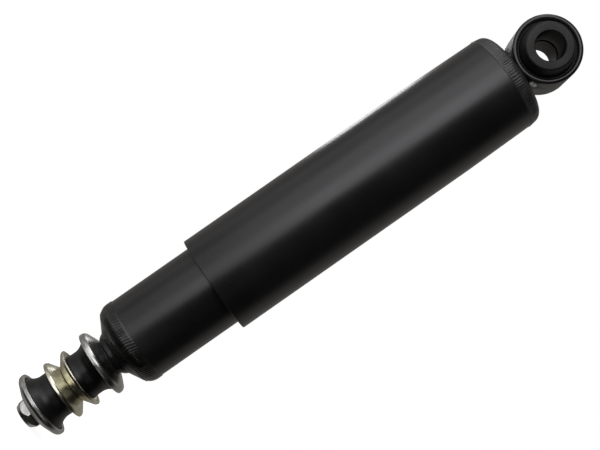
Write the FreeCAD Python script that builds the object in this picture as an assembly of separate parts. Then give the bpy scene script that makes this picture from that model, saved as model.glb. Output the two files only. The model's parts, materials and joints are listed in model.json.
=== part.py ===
import FreeCAD, Part
import math
import os

# Twin-tube gas shock absorber, in millimetres.
# The Z axis is the rod's axis, from the stem up to the eye.
# Z = 0 is the seat: the lower face of the stem's collar, where the first cup washer bears.

# Tubes
BORE = 35.0
PRESSURE_WALL = 1.5
RESERVE_GAP = 6.6
RESERVE_WALL = 2.0
RESERVE_LIP = 3.4
COVER_GAP = 3.5
COVER_WALL = 1.5
COVER_OVERLAP = 54.9
COVER_DRAW = 0.7
COVER_DRAW_LENGTH = 47.0

# Travel from the stored position, and the room left at the end stops
OPENING_TRAVEL = 156.0
CLOSING_TRAVEL = 12.0
STOP_GAP = 1.5

# Fits
RUNNING_CLEARANCE = 0.04
FREE_CLEARANCE = 0.3
SPRING_CLEARANCE = 0.05
EDGE = 0.5

# Eye and its two-part rubber bush
EYE_BORE = 19.0
BUSH_WALL = 8.95
BUSH_FACE_WALL = 5.6
BUSH_STANDOUT = 8.5
BUSH_SETBACK = 3.0
BUSH_GROOVE = 1.0
BUSH_SEAM = 1.5
BUSH_ROUND = 1.2
EYE_RING_WALL = 3.6
EYE_RING_WIDTH = 39.0
EYE_RING_ROUND = 1.7
EYE_STANDOFF = 2.6
EYE_WELD_WIDTH = 27.0
EYE_WELD_RISE = 7.0
EYE_WELD_LEAN = 2.2
EYE_WELD_LENGTH = 32.0
EYE_WELD_ROUND = 2.5

# Top cap and the weld that joins it to the dust cover
CAP_THICKNESS = 3.0
CAP_SKIRT_WALL = 2.0
CAP_SKIRT = 13.0
CAP_BEVEL = 2.6
COVER_WELD_HEIGHT = 8.2
COVER_WELD_CROWN = 1.1
COVER_WELD_LEAN = 1.2
COVER_WELD_RUN = 4.0
COVER_WELD_ROUND = 5.2

# Rod and its end stop
ROD_DIA = 16.0
ROD_TENON_DIA = 12.0
SPIGOT_DIA = 10.0
STOP_STANDOFF = 4.8
STOP_HEIGHT = 5.0
STOP_RIM = 4.5
BUMPER_HEIGHT = 6.0
BUMPER_RIM = 6.0

# Piston and its two valves
PISTON_HEIGHT = 18.0
BAND_HEIGHT = 9.0
BAND_WALL = 1.8
BAND_SLIT = 1.0
PORT_COUNT = 6
OUTER_PORT_DIA = 3.8
OUTER_PORT_INSET = 3.5
INNER_PORT_DIA = 2.6
INNER_PORT_OFFSET = 2.6
PORT_COVER = 0.7
PLATE_THICKNESS = 0.8
DISC_THICKNESS = 1.2
DISC_SPRING_WALL = 0.4
CHECK_ROOM = 1.5
CHECK_HUB_WALL = 1.5
CHECK_STOP_THICKNESS = 1.5
CHECK_STOP_RIM = 7.0
SLEEVE_WALL = 1.9
NUT_FLANGE = 2.0
NUT_FLANGE_RIM = 3.5
REBOUND_SPRING_LENGTH = 12.8
REBOUND_WIRE = 2.0
REBOUND_TURNS = 4

# Base valve
VALVE_SPIGOT = 6.0
VALVE_FLANGE = 4.0
VALVE_SKIRT_WALL = 4.5
VALVE_SLOT_WIDTH = 7.0
VALVE_SLOT_COUNT = 4
VALVE_SKIRT = 9.0
VALVE_BOLT_DIA = 6.0
VALVE_COLLAR_WALL = 2.0
VALVE_HEAD = 3.0
VALVE_HEAD_RIM = 6.0
VALVE_CHECK_ROOM = 2.2
COMPRESSION_SPRING_LENGTH = 4.0
COMPRESSION_WIRE = 1.2
COMPRESSION_TURNS = 2.5
VALVE_NUT_HEIGHT = 4.0
VALVE_NUT_ACROSS_FLATS = 12.0

# Rod guide, seal and closing plate
GUIDE_SPIGOT = 8.0
GUIDE_FLANGE = 11.0
GUIDE_BUSH_WALL = 1.5
GUIDE_BUSH_INSET = 3.0
BLEED_DIA = 2.0
BLEED_COUNT = 4
O_RING_WIRE = 2.6
O_RING_PLACE = 5.0
SEAL_HEIGHT = 7.0
SEAL_LIP = 1.6
SEAL_RELIEF = 1.5
SEAL_CAP_THICKNESS = 1.5

# Domed base, its weld and the stem
DOME_WALL = 3.0
DOME_FLAT_DIA = 29.0
DOME_FLANK_ANGLE = 30.3
DOME_BEND = 4.9
DOME_SKIRT = 12.7
BASE_WELD_RISE = 6.4
BASE_WELD_DROP = 2.3
BASE_WELD_CROWN = 0.5
BASE_WELD_ROUND = 8.8
BASE_WELD_FADE = 2.0
TUBE_STANDOFF = 4.1
COLLAR_HEIGHT = 4.4
COLLAR_DIA = 24.0
STEM_DIA = 12.0
STEM_TENON_DIA = 18.0
STEM_PROUD = 0.3
STEM_WELD_RISE = 3.7
STEM_WELD_REACH = 2.9
STEM_WELD_BULGE = 0.25

# Cup washers, rubber bushes and nut on the stem
WASHER_CLEARANCE = 0.3
STEM_CUP_DIA = 43.6
STEM_CUP_WALL = 2.5
STEM_CUP_HEIGHT = 7.7
STEM_CUP_RIM = 3.6
STEM_CUP_FLAT_DIA = 26.0
STEM_CUP_BEND = 5.8
STEM_CUP_SHOULDER = 3.0
STEM_CUP_EDGE = 0.6
BRACKET_CUP_DIA = 39.6
BRACKET_CUP_WALL = 2.0
BRACKET_CUP_HEIGHT = 7.2
BRACKET_CUP_RIM = 1.7
BRACKET_CUP_FLAT_DIA = 24.6
BRACKET_CUP_BEND = 3.7
BRACKET_CUP_SHOULDER = 3.9
BRACKET_CUP_EDGE = 0.5
STEM_BUSH_HEIGHT = 23.9
STEM_BUSH_WAIST_WALL = 8.95
STEM_BUSH_FACE_DIA = 21.0
STEM_BUSH_DIP = 0.8
STEM_BUSH_FLARE = 5.9
STEM_BUSH_FLARE_ROUND = 7.9
STEM_BUSH_BRACKET_GAP = 2.2
STEM_BUSH_BRACKET_FLARE = 3.0
NUT_ACROSS_FLATS = 18.0
NUT_HEIGHT = 7.2
NUT_CHAMFER_ANGLE = 30.0
NUT_CROWN_DIA = 15.4
NUT_CROWN_ANGLE = 60.8
NUT_TURN = 9.0

# Radii that follow from the sizes above
bore_r = BORE / 2
pressure_r = bore_r + PRESSURE_WALL
reserve_inner_r = pressure_r + RESERVE_GAP
reserve_r = reserve_inner_r + RESERVE_WALL
cover_inner_r = reserve_r + COVER_GAP
cover_r = cover_inner_r + COVER_WALL
cap_r = cover_inner_r - COVER_DRAW
rod_r = ROD_DIA / 2
tenon_r = ROD_TENON_DIA / 2
spigot_r = SPIGOT_DIA / 2
piston_r = bore_r - FREE_CLEARANCE
sleeve_r = spigot_r + SLEEVE_WALL
hub_r = spigot_r + CHECK_HUB_WALL
inner_port_r = sleeve_r + INNER_PORT_OFFSET
outer_port_r = piston_r - OUTER_PORT_INSET
eye_bore_r = EYE_BORE / 2
eye_ring_inner_r = eye_bore_r + BUSH_WALL
eye_ring_r = eye_ring_inner_r + EYE_RING_WALL
bolt_r = VALVE_BOLT_DIA / 2
valve_collar_r = bolt_r + VALVE_COLLAR_WALL
valve_inner_port_r = valve_collar_r + INNER_PORT_OFFSET
valve_cavity_r = pressure_r - VALVE_SKIRT_WALL
valve_outer_port_r = valve_cavity_r - OUTER_PORT_DIA / 2
collar_r = COLLAR_DIA / 2
stem_r = STEM_DIA / 2
washer_hole_r = stem_r + WASHER_CLEARANCE
stem_cup_r = STEM_CUP_DIA / 2
bracket_cup_r = BRACKET_CUP_DIA / 2
waist_r = stem_r + STEM_BUSH_WAIST_WALL

# Heights of the stem stack, downwards from the seat
upper_bush_top = -STEM_CUP_WALL
upper_bush_bottom = upper_bush_top - STEM_BUSH_HEIGHT
bracket_plane = upper_bush_bottom - BRACKET_CUP_WALL
lower_bush_top = bracket_plane - BRACKET_CUP_WALL
lower_bush_bottom = lower_bush_top - STEM_BUSH_HEIGHT
nut_top = lower_bush_bottom - STEM_CUP_WALL
nut_bottom = nut_top - NUT_HEIGHT
stem_end = nut_bottom - STEM_PROUD

# Heights of the body, upwards from the seat
flank_slope = math.tan(math.radians(DOME_FLANK_ANGLE))
dome_skirt_r = reserve_inner_r - RUNNING_CLEARANCE
dome_corner = COLLAR_HEIGHT + (dome_skirt_r - DOME_FLAT_DIA / 2) * flank_slope
dome_rim = dome_corner + DOME_SKIRT
reserve_bottom = dome_corner + TUBE_STANDOFF
dome_lift = DOME_WALL / math.cos(math.radians(DOME_FLANK_ANGLE))
valve_foot = COLLAR_HEIGHT + (pressure_r - DOME_FLAT_DIA / 2) * flank_slope + dome_lift
valve_floor = valve_foot + VALVE_SKIRT
pressure_bottom = valve_floor + VALVE_FLANGE
valve_top = pressure_bottom + VALVE_SPIGOT
head_bottom = valve_top + PLATE_THICKNESS + VALVE_CHECK_ROOM
head_top = head_bottom + VALVE_HEAD
compression_disc_bottom = valve_floor - DISC_THICKNESS
valve_nut_top = compression_disc_bottom - COMPRESSION_SPRING_LENGTH
valve_nut_bottom = valve_nut_top - VALVE_NUT_HEIGHT

# Heights of the piston and rod at the stored position
piston_nut_bottom = head_top + CLOSING_TRAVEL + STOP_GAP
rebound_seat = piston_nut_bottom + NUT_FLANGE
rebound_disc_bottom = rebound_seat + REBOUND_SPRING_LENGTH
piston_bottom = rebound_disc_bottom + DISC_THICKNESS
piston_top = piston_bottom + PISTON_HEIGHT
check_stop_bottom = piston_top + PLATE_THICKNESS + CHECK_ROOM
rod_shoulder = check_stop_bottom + CHECK_STOP_THICKNESS
stop_bottom = rod_shoulder + STOP_STANDOFF
bumper_bottom = stop_bottom + STOP_HEIGHT
bumper_top = bumper_bottom + BUMPER_HEIGHT

# Heights of the guide, the closed top of the body, the cap and the eye
guide_bottom = bumper_top + OPENING_TRAVEL + STOP_GAP
pressure_top = guide_bottom + GUIDE_SPIGOT
guide_top = pressure_top + GUIDE_FLANGE
seal_top = guide_top + SEAL_HEIGHT
seal_cap_top = seal_top + SEAL_CAP_THICKNESS
reserve_top = seal_cap_top + RESERVE_WALL
cap_bottom = reserve_top + CLOSING_TRAVEL + STOP_GAP
cap_top = cap_bottom + CAP_THICKNESS
cover_top = cap_top - COVER_WELD_HEIGHT
cover_bottom = reserve_top - OPENING_TRAVEL - COVER_OVERLAP
eye_z = cap_top + EYE_STANDOFF + eye_ring_r

UP = FreeCAD.Vector(0, 0, 1)
ORIGIN = FreeCAD.Vector(0, 0, 0)
FULL_SEGMENT = 0.98


def flat(point):
    return FreeCAD.Vector(point[0], 0, point[1])


def rounded_wire(points):
    """Closed wire through (radius, height) points. A third number rounds that corner."""
    count = len(points)
    spots = [flat(point) for point in points]
    halves = []
    reaches = []
    for here in range(count):
        back = spots[here - 1] - spots[here]
        ahead = spots[(here + 1) % count] - spots[here]
        half = back.getAngle(ahead) / 2
        radius = points[here][2] if len(points[here]) > 2 else 0
        halves.append(half)
        reaches.append(radius / math.tan(half))
    shares = [1.0] * count
    for here in range(count):
        after = (here + 1) % count
        room = FULL_SEGMENT * (spots[after] - spots[here]).Length
        wanted = reaches[here] + reaches[after]
        if wanted > room:
            shares[here] = min(shares[here], room / wanted)
            shares[after] = min(shares[after], room / wanted)
    edges = []
    ends = []
    for here in range(count):
        reach = reaches[here] * shares[here]
        back = (spots[here - 1] - spots[here]).normalize()
        ahead = (spots[(here + 1) % count] - spots[here]).normalize()
        start = spots[here] + back * reach
        end = spots[here] + ahead * reach
        ends.append((start, end))
        if reach > 0:
            radius = reach * math.tan(halves[here])
            inward = (back + ahead).normalize()
            middle = spots[here] + inward * (radius / math.sin(halves[here]) - radius)
            edges.append(Part.Arc(start, middle, end).toShape())
    for here in range(count):
        leave = ends[here][1]
        arrive = ends[(here + 1) % count][0]
        edges.append(Part.LineSegment(leave, arrive).toShape())
    return Part.Wire(Part.__sortEdges__(edges))


def turned(points):
    """Solid of revolution about Z from a closed outline of (radius, height) points."""
    return Part.Face(rounded_wire(points)).revolve(ORIGIN, UP, 360)


def sheet(path, wall):
    """Closed outline of pressed sheet: an open path, and the same path moved to its left by the wall."""
    moved = []
    for here, point in enumerate(path):
        sides = []
        if here > 0:
            sides.append((flat(point) - flat(path[here - 1])).normalize())
        if here < len(path) - 1:
            sides.append((flat(path[here + 1]) - flat(point)).normalize())
        normals = [FreeCAD.Vector(-side.z, 0, side.x) for side in sides]
        if len(normals) == 1:
            step = normals[0]
            turn = 0
        else:
            step = (normals[0] + normals[1]) * (1 / (1 + normals[0].dot(normals[1])))
            turn = 1 if sides[0].x * sides[1].z > sides[0].z * sides[1].x else -1
        place = flat(point) + step * wall
        radius = point[2] - turn * wall if len(point) > 2 else 0
        moved.append((place.x, place.z, max(radius, 0)))
    return list(path) + moved[::-1]


def ring(inner_r, outer_r, low, high, edge=0):
    return turned([(inner_r, low, edge), (outer_r, low, edge), (outer_r, high, edge), (inner_r, high, edge)])


def holes(count, circle_r, hole_dia, low, high):
    """Vertical holes, evenly spaced on a circle."""
    drills = []
    for number in range(count):
        turn = 2 * math.pi * number / count
        centre = FreeCAD.Vector(circle_r * math.cos(turn), circle_r * math.sin(turn), low)
        drills.append(Part.makeCylinder(hole_dia / 2, high - low, centre, UP))
    return Part.Compound(drills)


def slots(count, width, inner_r, outer_r, low, high):
    """Radial slots, evenly spaced, as boxes to cut away."""
    boxes = []
    for number in range(count):
        corner = FreeCAD.Vector(inner_r, -width / 2, low)
        box = Part.makeBox(outer_r - inner_r, width, high - low, corner)
        box.rotate(ORIGIN, UP, 360 * number / count)
        boxes.append(box)
    return Part.Compound(boxes)


def coil(mean_r, wire, low, high, turns):
    """Coil spring between two heights, with its wire clear of both seats."""
    start = low + wire / 2 + SPRING_CLEARANCE
    height = high - low - wire - 2 * SPRING_CLEARANCE
    path = Part.makeHelix(height / turns, height, mean_r)
    section = Part.Wire(Part.makeCircle(wire / 2, FreeCAD.Vector(mean_r, 0, 0), FreeCAD.Vector(0, 1, 0)))
    spring = Part.Wire(path).makePipeShell([section], True, True)
    spring.translate(FreeCAD.Vector(0, 0, start))
    return spring


def disc_spring(inner_r, outer_r, low, high, fingers, finger_gap):
    """Coned spring ring with slots that leave bent fingers round its rim."""
    rise = high - low - DISC_SPRING_WALL
    cone = turned([(inner_r, low + rise), (outer_r, low), (outer_r, low + DISC_SPRING_WALL), (inner_r, high)])
    middle_r = (inner_r + outer_r) / 2
    return cone.cut(slots(fingers, finger_gap, middle_r, 2 * outer_r, low - 1, high + 1))


def hexagon(across_flats, low, high):
    """Hexagonal bar with a corner on the Y axis and both ends chamfered."""
    corner_r = across_flats / math.sqrt(3)
    corners = []
    for number in range(7):
        turn = math.pi / 2 + number * math.pi / 3
        corners.append(FreeCAD.Vector(corner_r * math.cos(turn), corner_r * math.sin(turn), low))
    bar = Part.Face(Part.makePolygon(corners)).extrude(FreeCAD.Vector(0, 0, high - low))
    face_r = across_flats / 2 - EDGE / 2
    drop = (corner_r - face_r) * math.tan(math.radians(NUT_CHAMFER_ANGLE))
    crown = turned(
        [(0, low), (face_r, low), (corner_r, low + drop), (corner_r, high - drop), (face_r, high), (0, high)]
    )
    return bar.common(crown)


# Eye end

def eye_ring():
    start = FreeCAD.Vector(0, -EYE_RING_WIDTH / 2, eye_z)
    along = FreeCAD.Vector(0, 1, 0)
    outside = Part.makeCylinder(eye_ring_r, EYE_RING_WIDTH, start, along)
    inside = Part.makeCylinder(eye_ring_inner_r, EYE_RING_WIDTH, start, along)
    tube = outside.cut(inside)
    rims = [edge for edge in tube.Edges if len(edge.Vertexes) == 1]
    return tube.makeFillet(EYE_RING_ROUND, rims)


def eye_bush(tilt):
    """One half of the rubber bush. The tilt turns it from Z onto the front or the rear of the eye."""
    mouth = EYE_RING_WIDTH / 2
    face = mouth + BUSH_STANDOUT
    flank_r = eye_ring_inner_r - BUSH_GROOVE
    half = turned(
        [
            (eye_bore_r + BUSH_SEAM, 0),
            (eye_ring_inner_r, 0),
            (eye_ring_inner_r, mouth - BUSH_SETBACK),
            (flank_r, mouth - BUSH_SETBACK),
            (flank_r, mouth, BUSH_ROUND),
            (eye_bore_r + BUSH_FACE_WALL, face, BUSH_ROUND),
            (eye_bore_r + EDGE, face),
            (eye_bore_r, face - EDGE),
            (eye_bore_r, BUSH_SEAM),
        ]
    )
    half.rotate(ORIGIN, FreeCAD.Vector(1, 0, 0), tilt)
    half.translate(FreeCAD.Vector(0, 0, eye_z))
    return half


def eye_weld():
    """Saddle of weld between the cap and the ring, hollowed to the ring's curve."""
    foot = EYE_WELD_WIDTH / 2
    shoulder = foot - EYE_WELD_LEAN
    rise = cap_top + EYE_STANDOFF + EYE_WELD_RISE
    section = [(-foot, cap_top), (foot, cap_top), (shoulder, rise), (-shoulder, rise)]
    block = Part.Face(rounded_wire(section)).extrude(FreeCAD.Vector(0, EYE_WELD_LENGTH, 0))
    block.translate(FreeCAD.Vector(0, -EYE_WELD_LENGTH / 2, 0))
    uprights = [edge for edge in block.Edges if abs(edge.Vertexes[0].Z - edge.Vertexes[1].Z) > EDGE]
    block = block.makeFillet(EYE_WELD_ROUND, uprights)
    start = FreeCAD.Vector(0, -EYE_WELD_LENGTH, eye_z)
    return block.cut(Part.makeCylinder(eye_ring_r, 2 * EYE_WELD_LENGTH, start, FreeCAD.Vector(0, 1, 0)))


# Cap, cover and their weld

def top_cap():
    skirt_inner_r = cap_r - CAP_SKIRT_WALL
    skirt_bottom = cap_top - CAP_SKIRT
    return turned(
        [
            (tenon_r, cap_bottom),
            (skirt_inner_r, cap_bottom, CAP_SKIRT_WALL),
            (skirt_inner_r, skirt_bottom),
            (cap_r, skirt_bottom),
            (cap_r, cap_top - CAP_BEVEL),
            (cap_r - CAP_BEVEL, cap_top),
            (tenon_r, cap_top),
        ]
    )


def cover_weld():
    """Rounded bead that fills the cap's bevel, covers the end of the dust cover and runs onto the cap."""
    outer_r = cover_r - COVER_DRAW
    inner_r = cap_r - CAP_BEVEL - COVER_WELD_RUN
    crown = cap_top + COVER_WELD_CROWN
    return turned(
        [
            (cap_r, cover_top),
            (outer_r, cover_top),
            (outer_r - COVER_WELD_LEAN, crown, COVER_WELD_ROUND),
            (inner_r + COVER_WELD_CROWN, crown, 2 * COVER_WELD_CROWN),
            (inner_r, cap_top),
            (cap_r - CAP_BEVEL, cap_top),
            (cap_r, cap_top - CAP_BEVEL),
        ]
    )


def dust_cover():
    draw_start = cover_top - COVER_DRAW_LENGTH
    return turned(
        [
            (cover_inner_r, cover_bottom),
            (cover_r, cover_bottom, EDGE),
            (cover_r, draw_start),
            (cover_r - COVER_DRAW, cover_top),
            (cap_r, cover_top),
            (cover_inner_r, draw_start),
        ]
    )


# Rod and what is fixed to it

def piston_rod():
    end = piston_nut_bottom - EDGE
    return turned(
        [
            (0, end),
            (spigot_r - EDGE, end),
            (spigot_r, end + EDGE),
            (spigot_r, rod_shoulder),
            (rod_r, rod_shoulder),
            (rod_r, cap_bottom),
            (tenon_r, cap_bottom),
            (tenon_r, cap_top),
            (0, cap_top),
        ]
    )


def rebound_stop():
    return ring(rod_r, rod_r + STOP_RIM, stop_bottom, bumper_bottom, EDGE)


def rebound_bumper():
    return ring(rod_r, rod_r + BUMPER_RIM, bumper_bottom, bumper_top, EDGE)


def check_stop_washer():
    """Flanged washer: its hub stands on the piston and guides the check plate."""
    return turned(
        [
            (spigot_r, piston_top),
            (hub_r, piston_top),
            (hub_r, check_stop_bottom),
            (hub_r + CHECK_STOP_RIM, check_stop_bottom),
            (hub_r + CHECK_STOP_RIM, rod_shoulder, EDGE),
            (spigot_r, rod_shoulder),
        ]
    )


def piston():
    groove_r = bore_r - RUNNING_CLEARANCE - BAND_WALL - RUNNING_CLEARANCE
    middle = (piston_bottom + piston_top) / 2
    half_groove = BAND_HEIGHT / 2 + RUNNING_CLEARANCE
    blank = turned(
        [
            (spigot_r, piston_bottom),
            (piston_r, piston_bottom, 2 * EDGE),
            (piston_r, middle - half_groove),
            (groove_r, middle - half_groove),
            (groove_r, middle + half_groove),
            (piston_r, middle + half_groove),
            (piston_r, piston_top, 2 * EDGE),
            (spigot_r, piston_top),
        ]
    )
    outer = holes(PORT_COUNT, outer_port_r, OUTER_PORT_DIA, piston_bottom, piston_top)
    inner = holes(PORT_COUNT, inner_port_r, INNER_PORT_DIA, piston_bottom, piston_top)
    return blank.cut(outer).cut(inner)


def piston_band():
    """Split bearing band that runs in the pressure tube and turns in the piston's groove."""
    band_r = bore_r - RUNNING_CLEARANCE
    middle = (piston_bottom + piston_top) / 2
    low = middle - BAND_HEIGHT / 2
    high = middle + BAND_HEIGHT / 2
    band = ring(band_r - BAND_WALL, band_r, low, high)
    return band.cut(slots(1, BAND_SLIT, band_r - 2 * BAND_WALL, 2 * band_r, low, high))


def piston_check_plate():
    outer_r = outer_port_r + OUTER_PORT_DIA / 2 + PORT_COVER
    plate = ring(hub_r + RUNNING_CLEARANCE, outer_r, piston_top, piston_top + PLATE_THICKNESS)
    return plate.cut(
        holes(PORT_COUNT, inner_port_r, INNER_PORT_DIA, piston_top, piston_top + PLATE_THICKNESS)
    )


def piston_check_spring():
    low = piston_top + PLATE_THICKNESS + SPRING_CLEARANCE
    high = check_stop_bottom - SPRING_CLEARANCE
    inner_r = hub_r + FREE_CLEARANCE
    outer_r = hub_r + CHECK_STOP_RIM - FREE_CLEARANCE
    return disc_spring(inner_r, outer_r, low, high, PORT_COUNT, INNER_PORT_DIA)


def rebound_disc():
    outer_r = inner_port_r + INNER_PORT_DIA / 2 + PORT_COVER
    return ring(sleeve_r + RUNNING_CLEARANCE, outer_r, rebound_disc_bottom, piston_bottom)


def rebound_spring():
    mean_r = sleeve_r + FREE_CLEARANCE + REBOUND_WIRE / 2
    return coil(mean_r, REBOUND_WIRE, rebound_seat, rebound_disc_bottom, REBOUND_TURNS)


def piston_nut():
    """Sleeve nut: its flange carries the rebound spring and its sleeve clamps the piston."""
    flange_r = sleeve_r + NUT_FLANGE_RIM
    return turned(
        [
            (spigot_r, piston_nut_bottom),
            (flange_r, piston_nut_bottom, EDGE),
            (flange_r, rebound_seat),
            (sleeve_r, rebound_seat),
            (sleeve_r, piston_bottom),
            (spigot_r, piston_bottom),
        ]
    )


# Body: tubes, guide and seal

def reserve_tube():
    lip_r = reserve_inner_r - RESERVE_LIP
    return turned(
        [
            (reserve_inner_r, reserve_bottom),
            (reserve_r, reserve_bottom),
            (reserve_r, reserve_top, RESERVE_WALL),
            (lip_r, reserve_top, EDGE),
            (lip_r, seal_cap_top),
            (reserve_inner_r, seal_cap_top),
        ]
    )


def pressure_tube():
    return ring(bore_r, pressure_r, pressure_bottom, pressure_top)


def rod_guide():
    """Sintered guide: a spigot in the pressure tube and a flange in the reserve tube."""
    bush_r = rod_r + RUNNING_CLEARANCE + GUIDE_BUSH_WALL
    bush_top = guide_top - GUIDE_BUSH_INSET
    groove_low = pressure_top + O_RING_PLACE - O_RING_WIRE / 2
    groove_high = pressure_top + O_RING_PLACE + O_RING_WIRE / 2
    groove_r = reserve_inner_r - O_RING_WIRE
    flange_r = reserve_inner_r - RUNNING_CLEARANCE
    blank = turned(
        [
            (bush_r, guide_bottom),
            (bore_r, guide_bottom, 2 * EDGE),
            (bore_r, pressure_top),
            (flange_r, pressure_top, EDGE),
            (flange_r, groove_low),
            (groove_r, groove_low),
            (groove_r, groove_high),
            (flange_r, groove_high),
            (flange_r, guide_top),
            (rod_r + FREE_CLEARANCE, guide_top),
            (rod_r + FREE_CLEARANCE, bush_top),
            (bush_r, bush_top),
        ]
    )
    bleed_r = pressure_r + BLEED_DIA / 2
    return blank.cut(holes(BLEED_COUNT, bleed_r, BLEED_DIA, pressure_top, guide_top))


def guide_bush():
    inner_r = rod_r + RUNNING_CLEARANCE
    return ring(inner_r, inner_r + GUIDE_BUSH_WALL, guide_bottom, guide_top - GUIDE_BUSH_INSET)


def guide_o_ring():
    ring_r = reserve_inner_r - O_RING_WIRE / 2
    height = pressure_top + O_RING_PLACE
    wire_r = O_RING_WIRE / 2
    return Part.makeTorus(ring_r, wire_r, FreeCAD.Vector(0, 0, height), UP)


def rod_seal():
    """Rubber disc with a wiping lip at each face of its bore."""
    lip_r = rod_r + RUNNING_CLEARANCE
    relief_r = lip_r + SEAL_RELIEF
    outer_r = reserve_inner_r - RUNNING_CLEARANCE
    return turned(
        [
            (lip_r, guide_top),
            (outer_r, guide_top),
            (outer_r, seal_top),
            (lip_r, seal_top),
            (lip_r, seal_top - SEAL_LIP),
            (relief_r, seal_top - SEAL_LIP),
            (relief_r, guide_top + SEAL_LIP),
            (lip_r, guide_top + SEAL_LIP),
        ]
    )


def seal_cap():
    return ring(rod_r + 2 * FREE_CLEARANCE, reserve_inner_r - RUNNING_CLEARANCE, seal_top, seal_cap_top)


# Base: dome, welds and the valve that stands in it

def base_cap():
    path = [
        (STEM_TENON_DIA / 2, COLLAR_HEIGHT),
        (DOME_FLAT_DIA / 2, COLLAR_HEIGHT, DOME_BEND),
        (dome_skirt_r, dome_corner, DOME_WALL),
        (dome_skirt_r, dome_rim),
    ]
    return turned(sheet(path, DOME_WALL))


def base_weld(cap, tube):
    """Broad bead round the end of the reserve tube, run down onto the dome."""
    low_r = dome_skirt_r - BASE_WELD_DROP / flank_slope
    crown_r = reserve_r + BASE_WELD_CROWN
    corner = dome_corner + (crown_r - dome_skirt_r) * flank_slope - BASE_WELD_CROWN
    high = reserve_bottom + BASE_WELD_RISE
    bead = turned(
        [
            (low_r, dome_corner - BASE_WELD_DROP),
            (crown_r, corner, BASE_WELD_ROUND),
            (crown_r, high - BASE_WELD_FADE, BASE_WELD_FADE),
            (reserve_r, high),
            (reserve_inner_r, high),
            (reserve_inner_r, dome_corner),
        ]
    )
    return bead.cut(cap).cut(tube)


def stem():
    """Forged pin: a tenon through the dome, a collar that seats the washers, and the threaded shank."""
    return turned(
        [
            (0, stem_end),
            (stem_r - 2 * EDGE, stem_end),
            (stem_r, stem_end + 2 * EDGE),
            (stem_r, 0),
            (collar_r, 0, EDGE),
            (collar_r, COLLAR_HEIGHT),
            (STEM_TENON_DIA / 2, COLLAR_HEIGHT),
            (STEM_TENON_DIA / 2, COLLAR_HEIGHT + DOME_WALL),
            (0, COLLAR_HEIGHT + DOME_WALL),
        ]
    )


def stem_weld(cap):
    """Fillet of weld between the collar and the dome, slightly full in the middle."""
    outer_r = collar_r + STEM_WELD_REACH
    middle_r = collar_r + STEM_WELD_REACH / 2 + STEM_WELD_BULGE
    middle = COLLAR_HEIGHT - STEM_WELD_RISE / 2 - STEM_WELD_BULGE
    bead = turned(
        [
            (collar_r, COLLAR_HEIGHT - STEM_WELD_RISE),
            (middle_r, middle, STEM_WELD_RISE),
            (outer_r, COLLAR_HEIGHT),
            (outer_r, COLLAR_HEIGHT + DOME_WALL / 2),
            (collar_r, COLLAR_HEIGHT + DOME_WALL / 2),
        ]
    )
    return bead.cut(cap)


def base_valve_body(cap):
    """Sintered valve seat on slotted feet that fit the dome. The pressure tube is pushed over its spigot."""
    foot_bottom = valve_foot - DOME_WALL / 2
    slot_top = valve_floor - EDGE
    blank = turned(
        [
            (bolt_r, valve_floor),
            (valve_cavity_r, valve_floor, EDGE),
            (valve_cavity_r, foot_bottom),
            (pressure_r, foot_bottom),
            (pressure_r, pressure_bottom),
            (bore_r, pressure_bottom),
            (bore_r, valve_top, EDGE),
            (bolt_r, valve_top),
        ]
    )
    feet = slots(
        VALVE_SLOT_COUNT, VALVE_SLOT_WIDTH, valve_cavity_r / 2, 2 * pressure_r, foot_bottom, slot_top
    )
    outer = holes(PORT_COUNT, valve_outer_port_r, OUTER_PORT_DIA, valve_floor, valve_top)
    inner = holes(PORT_COUNT, valve_inner_port_r, INNER_PORT_DIA, valve_floor, valve_top)
    return blank.cut(cap).cut(feet).cut(outer).cut(inner)


def base_valve_bolt():
    head_r = valve_collar_r + VALVE_HEAD_RIM
    return turned(
        [
            (0, valve_nut_bottom),
            (bolt_r, valve_nut_bottom),
            (bolt_r, valve_top),
            (valve_collar_r, valve_top),
            (valve_collar_r, head_bottom),
            (head_r, head_bottom),
            (head_r, head_top, 2 * EDGE),
            (0, head_top),
        ]
    )


def base_valve_nut():
    bar = hexagon(VALVE_NUT_ACROSS_FLATS, valve_nut_bottom, valve_nut_top)
    hole = Part.makeCylinder(bolt_r, VALVE_NUT_HEIGHT, FreeCAD.Vector(0, 0, valve_nut_bottom), UP)
    return bar.cut(hole)


def base_check_plate():
    outer_r = valve_outer_port_r + OUTER_PORT_DIA / 2 + PORT_COVER
    top = valve_top + PLATE_THICKNESS
    plate = ring(valve_collar_r + RUNNING_CLEARANCE, outer_r, valve_top, top)
    return plate.cut(holes(PORT_COUNT, valve_inner_port_r, INNER_PORT_DIA, valve_top, top))


def base_check_spring():
    low = valve_top + PLATE_THICKNESS + SPRING_CLEARANCE
    high = head_bottom - SPRING_CLEARANCE
    inner_r = valve_collar_r + FREE_CLEARANCE
    outer_r = valve_collar_r + VALVE_HEAD_RIM - FREE_CLEARANCE
    return disc_spring(inner_r, outer_r, low, high, PORT_COUNT, INNER_PORT_DIA)


def compression_disc():
    outer_r = valve_inner_port_r + INNER_PORT_DIA / 2 + PORT_COVER
    return ring(bolt_r + RUNNING_CLEARANCE, outer_r, compression_disc_bottom, valve_floor)


def compression_spring():
    mean_r = bolt_r + FREE_CLEARANCE + COMPRESSION_WIRE / 2
    return coil(mean_r, COMPRESSION_WIRE, valve_nut_top, compression_disc_bottom, COMPRESSION_TURNS)


# Stem fittings

def flip(shape, plane):
    """The same piece turned end for end about a height."""
    turned_over = shape.copy()
    turned_over.rotate(FreeCAD.Vector(0, 0, plane), FreeCAD.Vector(1, 0, 0), 180)
    return turned_over


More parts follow.
